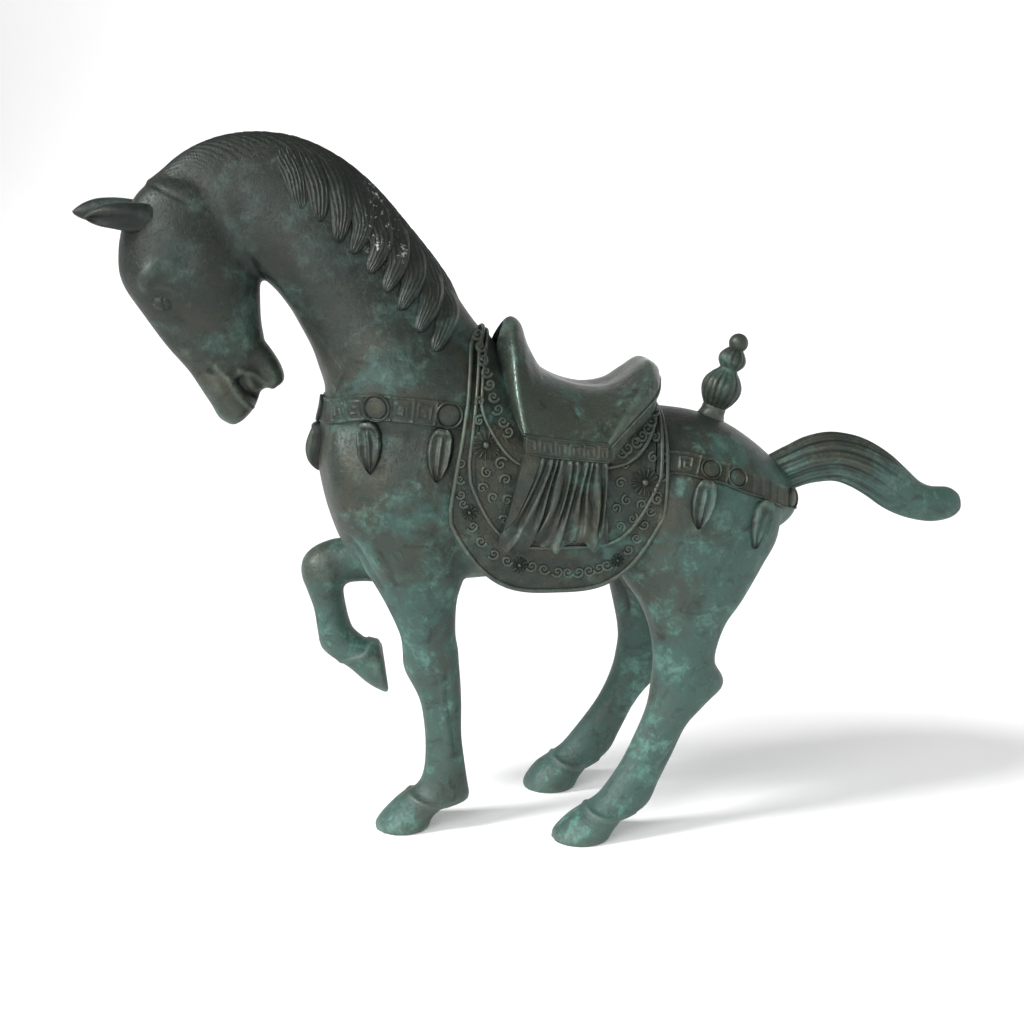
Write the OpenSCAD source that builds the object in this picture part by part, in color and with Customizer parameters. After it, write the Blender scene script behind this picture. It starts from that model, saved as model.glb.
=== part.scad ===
// Bronze horse in the Tang manner: a saddled horse standing on three hooves with
// one foreleg raised. Hollow-cast torso and neck, solid legs, head, tail and trappings.
// The horse faces -X, its near side faces -Y, and its hooves stand on z = 0.

/* [Castings] */
// Thickness of the hollow castings' walls
wall = 4; // [3:0.5:5]
// Sides of the torso, neck and head castings
body_sides = 28; // [20:2:32]
// Sides of the legs and tail
limb_sides = 16; // [12:2:20]
// Turn of the head towards the near side, in degrees
head_turn = 6; // [0:1:10]

/* [Joints] */
// Diameter of the dowels that join the legs to the torso
dowel_d = 12; // [10:0.5:13]
// Length of each dowel on either side of its seam
dowel_reach = 16; // [12:1:18]
// Diameter of the cross pins that lock the dowels
pin_d = 4; // [3:0.5:5]
// Diameter of the sleeve between neck and head
sleeve_d = 22; // [18:1:24]
// Diameter of the stud under the finial
stud_d = 6; // [5:0.5:8]
// Radial gap between a dowel or sleeve and its bore
joint_gap = 0.1; // [0.05:0.05:0.2]

/* [Trappings] */
// Thickness of each saddle cloth
cloth_t = 2.5; // [2:0.5:3]
// Thickness of the saddle pad
pad_t = 4; // [3:0.5:5]
// Height of the breast and crupper straps
strap_h = 16; // [14:1:18]
// Thickness of the straps
strap_t = 3; // [2:0.5:4]
// Radius of the round medallions on the straps
medallion_r = 9; // [7:0.5:10]
// Length of a hanging leaf pendant
pendant_l = 34; // [28:1:38]
// Number of folds in each saddle drape
fold_count = 7; // [5:1:9]
// Number of locks in the mane
lock_count = 9; // [7:1:11]

/* [Finial] */
// Radius of the fluted bud
bud_r = 14; // [12:1:16]
// Radius of the ball at the top
ball_r = 6.5; // [5:0.5:8]
// Lean of the finial towards the tail, in degrees
finial_lean = 20; // [15:1:26]

/* [Hidden] */

bronze = [0.27, 0.33, 0.30];
dark_bronze = [0.22, 0.25, 0.24];
verdigris = [0.33, 0.52, 0.46];
worn_bronze = [0.62, 0.66, 0.52];
brown_bronze = [0.42, 0.37, 0.29];
bright_bronze = [0.60, 0.45, 0.22];
sink = 0.5;       // how far a lying piece beds into the casting under it
poll = [-215, 0, 430];   // point about which the head turns
tail_d = 14;
tail_pitch = 15;
tail_seat = [155, 0, 237];
breast_at = [1, 3, 6, 9, 11];            // points of the straps that carry medallions
crupper_at = [2, 3, 6, 10, 13, 14];
crupper_leaf_at = [2, 4, 12, 14];

// A section is [front x, front z, back x, back z, middle y, half-width, taper].
// It is an oval whose first axis joins the front and back points and whose second
// axis runs along Y. Taper narrows the front side and widens the back side.
barrel = [
    [-147, 260, -147, 248, 0, 8, 0], [-139, 290, -141, 221, 0, 36, 0],
    [-126, 300, -131, 196, 0, 48, 0], [-106, 306, -113, 177, 0, 54, 0],
    [-79, 311, -88, 171, 0, 57, 0], [-53, 313, -54, 172, 0, 58, 0],
    [-19, 304, -19, 174, 0, 60, 0], [14, 294, 15, 174, 0, 61, 0],
    [48, 290, 50, 175, 0, 61, 0], [83, 287, 85, 179, 0, 61, 0],
    [111, 282, 113, 186, 0, 60, 0], [135, 271, 138, 192, 0, 54, 0],
    [157, 254, 159, 202, 0, 41, 0], [172, 237, 174, 214, 0, 20, 0]
];
neck_rows = [
    [-248, 438, -200, 392, 0, 17, 0], [-223, 457, -186, 381, 0, 20, 0.15],
    [-195, 466, -178, 373, 0, 23, 0.3], [-163, 465, -171, 366, 0, 26, 0.35],
    [-135, 454, -163, 355, 0, 29, 0.35], [-110, 435, -157, 344, 0, 32, 0.35],
    [-85, 406, -150, 330, 0, 36, 0.3], [-65, 380, -146, 318, 0, 40, 0.25],
    [-49, 354, -142, 303, 0, 45, 0.2]
];
neck_root = [
    [-49, 354, -142, 303, 0, 45, 0.2], [-33, 334, -144, 291, 0, 50, 0.1],
    [-13, 316, -146, 276, 0, 52, 0], [20, 290, -138, 245, 0, 50, 0]
];
head_rows = [
    [-240, 441, -204, 438, 0, 10, 0], [-257, 429, -196, 431, 0, 18, 0],
    [-268, 405, -180, 396, 0, 25, 0], [-269, 390, -182, 376, 0, 27, 0],
    [-266, 371, -184, 364, 0, 25, 0], [-258, 352, -183, 348, 0, 20, 0],
    [-243, 332, -182, 333, 0, 17, 0], [-228, 313, -173, 322, 0, 17, 0],
    [-222, 303, -168, 311, 0, 17, 0], [-216, 293, -172, 299, 0, 15, 0],
    [-211, 284, -184, 292, 0, 11, 0], [-203, 280, -190, 285, 0, 4, 0]
];
left_fore_root = [
    [-124, 240, -52, 248, -20, 26, 0], [-127, 218, -48, 225, -26, 28, 0],
    [-121, 190, -49, 198, -27, 26, 0], [-114, 177, -53, 179, -25, 22, 0],
    [-106, 162, -58, 162, -24, 19, 0]
];
left_fore = [
    [-106, 162, -58, 162, -24, 19, 0], [-97, 141, -59, 140, -22, 16, 0],
    [-94, 127, -58, 126, -21, 16, 0], [-90, 110, -57, 110, -20, 15, 0],
    [-83, 90, -56, 88, -18, 12, 0], [-80, 67, -56, 65, -17, 11, 0],
    [-81, 49, -55, 46, -16, 13, 0], [-84, 34, -52, 29, -15, 15, 0],
    [-91, 26, -55, 21, -15, 17, 0], [-103, 16, -67, 13, -15, 19, 0],
    [-112, 6, -75, 5, -15, 20, 0], [-115, 0, -78, 0, -15, 19, 0]
];
right_fore_root = [
    [-66, 240, -60, 160, 18, 26, 0], [-88, 225, -72, 152, 27, 27, 0],
    [-106, 212, -88, 152, 32, 23, 0], [-124, 196, -107, 161, 35, 18, 0]
];
right_fore = [
    [-124, 196, -107, 161, 35, 18, 0], [-140, 192, -120, 162, 36, 16, 0],
    [-153, 186, -130, 161, 36, 15, 0], [-159, 178, -132, 158, 36, 15, 0],
    [-160, 168, -132, 153, 36, 14, 0], [-156, 156, -131, 146, 36, 13, 0],
    [-153, 142, -129, 136, 36, 12, 0], [-151, 127, -126, 127, 36, 12, 0],
    [-148, 115, -122, 121, 36, 14, 0], [-141, 107, -117, 119, 36, 16, 0],
    [-129, 97, -112, 119, 36, 18, 0], [-115, 87, -109, 119, 36, 19, 0],
    [-103, 80, -108, 118, 36, 18, 0]
];
left_hind_root = [
    [30, 262, 128, 262, -20, 36, 0], [32, 238, 158, 235, -28, 37, 0],
    [39, 205, 157, 205, -34, 34, 0], [50, 180, 146, 184, -37, 31, 0],
    [62, 162, 132, 161, -40, 27, 0], [68, 148, 123, 148, -42, 24, 0]
];
left_hind = [
    [68, 148, 123, 148, -42, 24, 0], [71, 135, 117, 133, -43, 20, 0],
    [72, 121, 116, 119, -44, 17, 0], [71, 104, 119, 102, -45, 16, 0],
    [66, 84, 105, 88, -46, 14, 0], [60, 70, 95, 76, -46, 13, 0],
    [51, 52, 85, 55, -47, 13, 0], [39, 33, 74, 34, -48, 15, 0],
    [29, 24, 65, 21, -49, 17, 0], [16, 15, 54, 13, -49, 19, 0],
    [5, 5, 45, 5, -49, 20, 0], [2, 0, 42, 0, -49, 19, 0]
];
right_hind_root = [
    [30, 262, 128, 262, 20, 36, 0], [32, 238, 158, 235, 28, 37, 0],
    [36, 205, 160, 205, 34, 34, 0], [48, 180, 150, 180, 37, 31, 0],
    [55, 164, 137, 160, 40, 27, 0], [58, 150, 130, 146, 42, 24, 0]
];
right_hind = [
    [58, 150, 130, 146, 42, 24, 0], [61, 137, 124, 127, 43, 20, 0],
    [64, 122, 118, 113, 44, 17, 0], [65, 107, 113, 99, 45, 16, 0],
    [60, 84, 100, 85, 46, 14, 0], [52, 68, 85, 71, 46, 13, 0],
    [43, 54, 76, 58, 47, 13, 0], [29, 35, 64, 37, 48, 15, 0],
    [21, 26, 56, 23, 48, 17, 0], [8, 16, 46, 14, 48, 19, 0],
    [-2, 5, 37, 5, 48, 20, 0], [-5, 0, 34, 0, 48, 19, 0]
];
tail_rows = [
    [150, 249, 165, 224, 0, 9, 0], [163, 254, 174, 227, 0, 11, 0],
    [185, 263, 190, 232, 0, 13, 0], [201, 266, 205, 233, 0, 14, 0],
    [217, 264, 218, 229, 0, 15, 0], [231, 259, 230, 222, 0, 15, 0],
    [246, 251, 241, 214, 0, 15, 0], [258, 241, 252, 208, 0, 14, 0],
    [268, 232, 264, 204, 0, 13, 0], [277, 228, 278, 203, 0, 11, 0],
    [290, 226, 291, 204, 0, 8, 0], [299, 221, 299, 211, 0, 3, 0]
];
ear_rows = [
    [-240, 423, -244, 405, -16, 4, 0], [-252, 424, -254, 406, -17, 7, 0],
    [-268, 424.5, -269, 407, -18, 7.5, 0], [-281, 421.5, -281, 409, -17, 5.5, 0],
    [-291, 417, -291, 414, -16, 2, 0]
];
// Saddle: crown and underside along the horse's back, from pommel to cantle
saddle_rows = [
    [-27, 337, -32, 322, 0, 26, 0], [-16, 349, -22, 306, 0, 34, 0],
    [-6, 328, -8, 296, 0, 38, 0], [6, 311, 6, 288, 0, 36, 0],
    [26, 303, 26, 284, 0, 34, 0], [46, 302, 46, 282, 0, 36, 0],
    [59, 313, 60, 280, 0, 38, 0], [71, 319, 68, 280, 0, 34, 0],
    [78, 309, 75, 282, 0, 28, 0]
];

// ---------------------------------------------------------------- section lofts

function lerp(a, b, t) = a + (b - a) * t;
function cubic(a, b, c, d, t) =
    0.5 * (2 * b + (c - a) * t + (2 * a - 5 * b + 4 * c - d) * t * t
        + (3 * b - a - 3 * c + d) * t * t * t);
// Row of a smooth curve through all the rows, at fraction s of its length
function row_at(rows, s) =
    let (n = len(rows) - 1, p = min(max(s, 0), 1) * n, i = min(floor(p), n - 1))
    cubic(rows[max(i - 1, 0)], rows[i], rows[i + 1], rows[min(i + 2, n)], p - i);
function smooth(rows, m) = [for (k = [0 : (len(rows) - 1) * m]) row_at(rows, k / ((len(rows) - 1) * m))];
// Point of a section at angle a, where 0 is the front point and 90 the -Y side
function section_point(r, a) = let (w = r[5] * (1 - r[6] * cos(a))) [
    (r[0] + r[2]) / 2 + (r[0] - r[2]) / 2 * cos(a),
    r[4] - w * sin(a),
    (r[1] + r[3]) / 2 + (r[1] - r[3]) / 2 * cos(a)
];
function ring(r, n) = [for (k = [0 : n - 1]) section_point(r, 360 * k / n)];
// The same section with its oval drawn in by t all round
function inset_row(r, t) =
    let (h = norm([r[0] - r[2], r[1] - r[3]]) / 2, f = t / h)
    [lerp(r[0], r[2], f / 2), lerp(r[1], r[3], f / 2), lerp(r[2], r[0], f / 2), lerp(r[3], r[1], f / 2),
     r[4], r[5] - t, r[6]];

function middle(r) = [for (j = [0 : 2]) [for (p = r) p[j]] * [for (p = r) 1] / len(r)];
// Twice the area normal of a ring of points
function area_normal(r) =
    let (c = middle(r), n = len(r), t = [for (k = [0 : n - 1]) cross(r[k] - c, r[(k + 1) % n] - c)])
    [for (j = [0 : 2]) [for (v = t) v[j]] * [for (v = t) 1]];
// Closed skin over a stack of rings, each a list of n points, n even. Each end is
// closed by a ladder between the two halves of its ring.
module skin(rings) {
    n = len(rings[0]);
    last = (len(rings) - 1) * n;
    along = area_normal(rings[0]) * (middle(rings[1]) - middle(rings[0])) > 0;
    tris = [
        for (i = [0 : n : last - n]) for (k = [0 : n - 1])
            let (a = i + k, b = i + (k + 1) % n) each [[a, b + n, b], [a, a + n, b + n]],
        for (k = [0 : n / 2 - 2]) each [
            [k, k + 1, n - 2 - k], [k, n - 2 - k, n - 1 - k],
            [last + k, last + n - 2 - k, last + k + 1], [last + k, last + n - 1 - k, last + n - 2 - k]]
    ];
    polyhedron([for (r = rings) each r], along ? tris : [for (t = tris) [t[0], t[2], t[1]]]);
}
module loft(rows, n, m = 2) { skin([for (r = smooth(rows, m)) ring(r, n)]); }
// Slab between an upper and a lower grid of points of the same size
module slab(upper, lower) {
    skin([for (i = [0 : len(upper) - 1]) concat(upper[i], [for (k = [len(lower[i]) - 1 : -1 : 0]) lower[i][k]])]);
}
// Places children on a section's middle, with +Z along the piece towards the torso
module on_seam(r) {
    translate([(r[0] + r[2]) / 2, r[4], (r[1] + r[3]) / 2])
        rotate([0, atan2(r[1] - r[3], r[2] - r[0]), 0]) children();
}

// ---------------------------------------------------------------- castings

leg_seams = [left_fore[0], right_fore[0], left_hind[0], right_hind[0]];
// Bore for a dowel, centred on a leg's seam
module dowel_bore(r) {
    on_seam(r) cylinder(d = dowel_d + 2 * joint_gap, h = 2 * dowel_reach + 1, center = true, $fn = 48);
}
module dowel(r) { on_seam(r) cylinder(d = dowel_d, h = 2 * dowel_reach, center = true, $fn = 48); }
// Cross pin through a leg and its dowel, below the seam
module cross_pin(r, gap = 0) {
    on_seam(r) translate([0, 0, -dowel_reach / 2]) rotate([90, 0, 0])
        cylinder(d = pin_d + 2 * gap, h = 2 * (r[5] - 3), center = true, $fn = 32);
}
module neck_hollow() { loft([for (i = [2 : 8]) inset_row(neck_rows[i], wall)], body_sides); }

module torso() {
    color(bronze) difference() {
        union() {
            loft(barrel, body_sides);
            loft(neck_root, body_sides);
            loft(left_fore_root, limb_sides);
            loft(right_fore_root, limb_sides);
            loft(left_hind_root, limb_sides);
            loft(right_hind_root, limb_sides);
        }
        loft([for (i = [2 : 12]) inset_row(barrel[i], wall)], body_sides);
        loft([for (r = neck_root) inset_row(r, wall)], body_sides);
        for (r = leg_seams) dowel_bore(r);
        translate(tail_seat) rotate([0, 90 - tail_pitch, 0])
            cylinder(d = tail_d + 2 * joint_gap, h = 60, center = true, $fn = 48);
        on_finial() translate([0, 0, -20]) cylinder(d = stud_d + 2 * joint_gap, h = 40, $fn = 32);
    }
}
module neck() {
    color(bronze) difference() {
        loft(neck_rows, body_sides);
        neck_hollow();
        head_socket();
    }
}
// Round socket shared by the neck and the head, along the head seam's normal
module head_socket() {
    on_seam(neck_rows[0]) cylinder(d = sleeve_d + 2 * joint_gap, h = 44, center = true, $fn = 48);
}
module turned() { translate(poll) rotate([0, 0, head_turn]) translate(-poll) children(); }
module head() {
    color(bronze) difference() {
        turned() difference() {
            loft(head_rows, body_sides);
            mouth_cut();
            for (side = [-1, 1]) translate([-238, side * 24, 363]) sphere(r = 7, $fn = 32);
        }
        loft(neck_rows, body_sides);
        head_socket();
    }
}
// Open mouth between the lips
module mouth_cut() {
    translate([-196, 0, 288]) rotate([90, 0, 0])
        linear_extrude(height = 60, center = true) polygon([[-4, -14], [12, 14], [22, 10], [10, -14]]);
}
module ear(side) {
    color(bronze) turned() mirror([0, side > 0 ? 1 : 0, 0]) difference() {
        loft(ear_rows, limb_sides);
        translate([-268, -18, 404]) scale([1, 0.35, 0.45]) sphere(r = 13, $fn = 32);
    }
}
module left_ear() { ear(-1); }
module right_ear() { ear(1); }
module eye(side) {
    color(dark_bronze) turned() translate([-238, side * 24, 363]) sphere(r = 7 - joint_gap, $fn = 32);
}
module left_eye() { eye(-1); }
module right_eye() { eye(1); }

// Point on the neck's near side: s runs from poll to withers, f from crest to throat
function on_neck(s, f, out) =
    let (r = row_at(neck_rows, s), g = inset_row(r, -out)) section_point(g, acos(1 - 2 * f));
// One lock: a curved slab from the crest that narrows to a tip
module lock(s, len_f, bend) {
    rows = [for (t = [0 : 0.125 : 1]) [s + bend * t * t, 0.01 + len_f * t, 0.045 * pow(1 - t, 0.6) + 0.004]];
    slab([for (q = rows) [for (j = [-1 : 0.5 : 1])
             on_neck(q[0] + j * q[2], q[1], min(1, 6 * q[1] + 0.1) * (1 + 2 * (1 - j * j)))]],
         [for (q = rows) [for (j = [-1 : 0.5 : 1]) on_neck(q[0] + j * q[2], q[1], -sink)]]);
}
module mane() {
    color(verdigris) for (i = [0 : lock_count - 1])
        lock(0.10 + 0.82 * i / (lock_count - 1), 0.5 - 0.12 * pow(2 * i / (lock_count - 1) - 1, 2), -0.02);
}

module leg(rows) {
    color(bronze) difference() {
        loft(rows, limb_sides);
        dowel_bore(rows[0]);
        cross_pin(rows[0], joint_gap);
    }
}
module left_foreleg() { leg(left_fore); }
module right_foreleg() { leg(right_fore); }
module left_hind_leg() { leg(left_hind); }
module right_hind_leg() { leg(right_hind); }

module tail_rod(d) {
    translate(tail_seat) rotate([0, 90 - tail_pitch, 0]) cylinder(d = d, h = 48, center = true, $fn = 48);
}
module tail() {
    color(bronze) difference() {
        loft(tail_rows, limb_sides);
        rump_form();
        tail_rod(tail_d + 2 * joint_gap);
    }
}
// Outer form of the rump, taken off the pieces that are seated on it
module rump_form() { loft(barrel, body_sides); }
module tail_tenon() { color(bright_bronze) tail_rod(tail_d); }

// ---------------------------------------------------------------- saddle cloths

// Height of the horse's back at x, over the withers and the loins
function back_z(x) = lookup(x, [[-60, 356], [-49, 350], [-33, 335], [-13, 314], [14, 296], [48, 291],
    [83, 287], [111, 282]]);
// Point of a cloth: v runs over the back from -1 (near hem) to 1 (far hem). The cloth
// follows the back's oval down to mid height, then hangs straight to its hem.
function drape_point(x, v, hem, out) =
    let (t = abs(v), side = v < 0 ? -1 : 1, mid_z = 240, half = 61 + out, top = back_z(x) + out - mid_z,
         turn = hem > mid_z ? 1 : 0.6, a = min(t / turn, 1) * (hem > mid_z ? acos((hem - mid_z) / top) : 90))
    t <= turn
        ? [x, side * half * sin(a), mid_z + top * cos(a)]
        : [x, side * half, lerp(mid_z, hem, (t - turn) / (1 - turn))];
// Cloth whose front and rear edges run from x at the ridge to x at the hem, and
// whose hem lifts by corner at both ends
module cloth(front, rear, hem, corner, out, t = cloth_t, nu = 14, nv = 24) {
    grid = [for (o = [out + t, out]) [for (i = [0 : nu]) [for (j = [0 : nv])
        let (u = i / nu, v = 2 * j / nv - 1, f = pow(abs(v), 1.3),
             x = lerp(lerp(front[0], front[1], f), lerp(rear[0], rear[1], f), u),
             e = pow(abs(2 * u - 1), 5))
        drape_point(x, v, hem + corner * e, o)]]];
    slab(grid[0], grid[1]);
}
module outer_saddle_cloth() { color(dark_bronze) cloth([-43, -61], [86, 62], 177, 48, -sink); }
module middle_saddle_cloth() {
    color(brown_bronze) cloth([-44, -52], [84, 58], 198, 34, cloth_t - sink);
}
module saddle_pad() { color(bronze) cloth([-42, -34], [84, 46], 254, 34, 2 * cloth_t - sink, pad_t); }
// Seat: a plate over the pad that rises to a pommel and a cantle
module saddle_seat() {
    under = 2 * cloth_t + pad_t - sink;
    color(brown_bronze) difference() {
        union() {
            cloth([-24, -18], [76, 38], 271, 4, under, 4);
            loft(saddle_rows, body_sides);
        }
        cloth([-60, -60], [110, 100], 200, 0, -40, 40 + under);
    }
}
// Belt of small plaques along the foot of the saddle, on both sides
module saddle_belt() {
    color(dark_bronze) for (side = [-1, 1]) for (i = [0 : 9])
        translate([-15 + 6 * i, side * 71, 268 - 0.9 * i]) cube([5.4, 5, 13], center = true);
}
// Folded panel that hangs from the belt: n pleats, spreading towards a zigzag hem
module saddle_drape(side) {
    nu = 4 * fold_count;
    function fold(i) = abs((i / 4) % 1 - 0.5) * 2;
    function at(i, t, y) = let (u = i / nu, spread = lerp(0.86, 1, t))
        [lerp(9, -1, t) + 64 * (u - 0.5) * spread, side * (y + 4 * t * fold(i)),
         lerp(262 - 8 * u, 206 + 7 * fold(i + 2), t)];
    color(bronze) slab([for (i = [0 : nu]) [for (t = [0 : 0.25 : 1]) at(i, t, 71)]],
                       [for (i = [0 : nu]) [for (t = [0 : 0.25 : 1]) at(i, t, 68)]]);
}
module left_saddle_drape() { saddle_drape(-1); }
module right_saddle_drape() { saddle_drape(1); }
// Many-petalled rosette standing on the cloth, facing out along side * Y
module rosette(x, y, z, side) {
    translate([x, side * y, z]) rotate([-90 * side, 0, 0]) {
        cylinder(r = 9.5, h = 2, $fn = 48);
        cylinder(r = 3.5, h = 4, $fn = 32);
        for (k = [0 : 13]) rotate([0, 0, k * 360 / 14]) translate([7, 0, 1]) cylinder(r = 1.4, h = 2, $fn = 16);
    }
}
module rosettes(side) {
    color(verdigris) {
        rosette(-45, 62.2, 268, side);
        rosette(62, 62.2, 240, side);
        rosette(-46, 62.2, 214, side);
        rosette(-22, 62.2, 190, side);
        rosette(48, 62.2, 200, side);
    }
}
module left_rosettes() { rosettes(-1); }
module right_rosettes() { rosettes(1); }

// ---------------------------------------------------------------- straps

// Middle line of the breast strap, from the near cloth edge round the chest: [x, y, z]
breast_line = [
    [-52, -60, 291], [-67, -60, 293], [-90, -59, 295], [-113, -54, 295], [-131, -43, 292],
    [-142, -24, 289], [-146, 0, 288], [-142, 24, 289], [-131, 43, 292], [-113, 54, 295],
    [-90, 59, 295], [-67, 60, 293], [-52, 60, 291]
];
// Middle line of the crupper strap, from the near cloth edge round the rump
crupper_line = [
    [72, -62.5, 260], [89, -63, 258], [106, -62, 254], [125, -58, 248], [141, -51, 239],
    [154, -43, 230], [166, -30, 222], [173, -14, 216], [175.5, 0, 214], [173, 14, 216],
    [166, 30, 222], [154, 43, 230], [141, 51, 239], [125, 58, 248], [106, 62, 254],
    [89, 63, 258], [72, 62.5, 260]
];
function heading(p, i) = let (d = p[min(i + 1, len(p) - 1)] - p[max(i - 1, 0)]) atan2(d[1], d[0]);
// Strap along a line, with its height upright and its thickness outwards
module strap(p) {
    function edge(i, o, z) = let (h = heading(p, i)) p[i] + [o * sin(h), -o * cos(h), z];
    away = p[0][0] > p[4][0] ? -1 : 1;
    slab([for (i = [0 : len(p) - 1]) [for (z = [-0.5, 0, 0.5]) edge(i, away * strap_t, z * strap_h)]],
         [for (i = [0 : len(p) - 1]) [for (z = [-0.5, 0, 0.5]) edge(i, -away * sink, z * strap_h)]]);
}
// Children stand on the strap's outer face at point i, with +Z outwards and +Y up
module on_strap(p, i) {
    away = p[0][0] > p[4][0] ? -1 : 1;
    h = heading(p, i);
    translate(p[i] + away * strap_t * [sin(h), -cos(h), 0])
        rotate([0, 0, h]) rotate([90, 0, 0]) rotate([0, away > 0 ? 0 : 180, 0]) children();
}
module medallion() {
    cylinder(r = medallion_r, h = 1.6, $fn = 48);
    rotate_extrude($fn = 48) translate([medallion_r - 1.5, 1.2]) circle(r = 1.3, $fn = 16);
    cylinder(r = 4, h = 3.4, $fn = 32);
}
// Leaf-shaped pendant that hangs below a medallion, from its pointed top
module pendant() {
    leaf = [for (a = [0 : 20 : 340]) [0.36 * pendant_l * sin(a) * (0.72 - 0.28 * cos(a)),
        pendant_l * (0.5 * cos(a) - 0.5)]];
    translate([0, -strap_h / 2, -strap_t]) {
        linear_extrude(height = 3.4) polygon(leaf);
        translate([0, -pendant_l * 0.1, 0]) linear_extrude(height = 5) scale(0.7) polygon(leaf);
        translate([-3, -4, 0]) cube([6, 6, 2.6]);
    }
}
module breast_strap() { color(bronze) strap(breast_line); }
module breast_medallions() { color(verdigris) for (i = breast_at) on_strap(breast_line, i) medallion(); }
module breast_pendants() { color(worn_bronze) for (i = breast_at) on_strap(breast_line, i) pendant(); }
module crupper_strap() { color(bronze) strap(crupper_line); }
module crupper_medallions() { color(verdigris) for (i = crupper_at) on_strap(crupper_line, i) medallion(); }
module crupper_pendants() { color(worn_bronze) for (i = crupper_leaf_at) on_strap(crupper_line, i) pendant(); }

// ---------------------------------------------------------------- finial

module on_finial() { translate([117, 0, 276]) rotate([0, finial_lean, 0]) children(); }
module stud_hole() { cylinder(d = stud_d + 2 * joint_gap, h = 60, $fn = 32); }
module finial_base() {
    color(worn_bronze) on_finial() difference() {
        rotate_extrude($fn = 48) polygon([[0, -4], [11, -4], [10, 2], [7, 6], [9, 9], [10, 12], [0, 12]]);
        translate([0, 0, -5]) stud_hole();
    }
}
// Turned body with n round flutes: rings of the profile [radius, height] rippled by depth
module fluted(profile, n, depth) {
    skin([for (q = profile) [for (k = [0 : 4 * n - 1])
        let (a = 90 * k / n) [(q[0] + depth * cos(n * a)) * cos(a), (q[0] + depth * cos(n * a)) * sin(a), q[1]]]]);
}
module finial_bud() {
    color(worn_bronze) on_finial() difference() {
        fluted([for (a = [-60 : 15 : 65]) [bud_r * cos(a), 23.5 + bud_r * 0.95 * sin(a)]], 9, 1.2);
        translate([0, 0, 10]) stud_hole();
    }
}
module finial_bead() {
    color(worn_bronze) on_finial() difference() {
        fluted([for (a = [-60 : 15 : 65]) [9.5 * cos(a), 44.5 + 8.5 * sin(a)]], 8, 0.9);
        translate([0, 0, 30]) stud_hole();
    }
}
module finial_ball() {
    color(worn_bronze) on_finial() difference() {
        translate([0, 0, 57.5]) sphere(r = ball_r, $fn = 48);
        cylinder(d = stud_d + 2 * joint_gap, h = 56, $fn = 32);
    }
}
module finial_stud() { color(bright_bronze) on_finial() translate([0, 0, -16]) cylinder(d = stud_d, h = 71.5, $fn = 32); }
module finial_nut() {
    color(bright_bronze) on_finial() translate([0, 0, -14]) difference() {
        cylinder(d = stud_d * 2, h = 5, $fn = 6);
        translate([0, 0, -1]) cylinder(d = stud_d + 2 * joint_gap, h = 7, $fn = 32);
    }
}

// ---------------------------------------------------------------- inner joints

module neck_sleeve() {
    rows = [row_at(neck_rows, 0.93), neck_rows[8], neck_root[1]];
    color(bright_bronze) difference() {
        loft([for (r = rows) inset_row(r, wall + 0.4)], body_sides);
        loft([for (i = [0 : 2]) let (g = inset_row(rows[i], wall + 3.4), d = [-6, 0, 6][i])
            [g[0] + d * 0.45, g[1] - d, g[2] + d * 0.45, g[3] - d, g[4], g[5], g[6]]], body_sides);
    }
}
module head_sleeve() {
    color(bright_bronze) on_seam(neck_rows[0]) difference() {
        cylinder(d = sleeve_d, h = 40, center = true, $fn = 48);
        cylinder(d = sleeve_d - 6, h = 41, center = true, $fn = 48);
    }
}
module leg_dowels() {
    color(bright_bronze) for (r = leg_seams) difference() {
        dowel(r);
        cross_pin(r, joint_gap);
    }
}
module dowel_pins() {
    color(bright_bronze) for (r = leg_seams) cross_pin(r);
}
// Rivets that hold the cloths to the torso's wall under the saddle seat's ends
module saddle_rivets() {
    color(bright_bronze) for (x = [0, 52]) for (side = [-1, 1])
        translate([x, side * 20, back_z(x) - 14]) cylinder(d = 5, h = 16, $fn = 24);
}

torso();
neck();
head();
left_ear();
right_ear();
left_eye();
right_eye();
mane();
left_foreleg();
right_foreleg();
left_hind_leg();
right_hind_leg();
tail();
outer_saddle_cloth();
middle_saddle_cloth();
saddle_pad();
saddle_seat();
saddle_belt();
left_saddle_drape();
right_saddle_drape();
left_rosettes();
right_rosettes();
breast_strap();
breast_medallions();
breast_pendants();
crupper_strap();
crupper_medallions();
crupper_pendants();
finial_base();
finial_bud();
finial_bead();
finial_ball();
finial_stud();
finial_nut();
neck_sleeve();
head_sleeve();
leg_dowels();
dowel_pins();
tail_tenon();
saddle_rivets();
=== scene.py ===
"""Bronze horse in the Tang manner, saddled, standing on three hooves with one foreleg raised.

The castings are stacks of oval sections that are fused, filleted and then modelled with swells
and strokes. The trappings are surfaces of two parameters laid over the castings. Lengths are in
millimetres until a mesh is made. The horse faces -X, its near side faces -Y, and +Z is up.
"""
import logging
import math
from dataclasses import dataclass, field
from enum import Enum
from typing import Sequence

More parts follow.
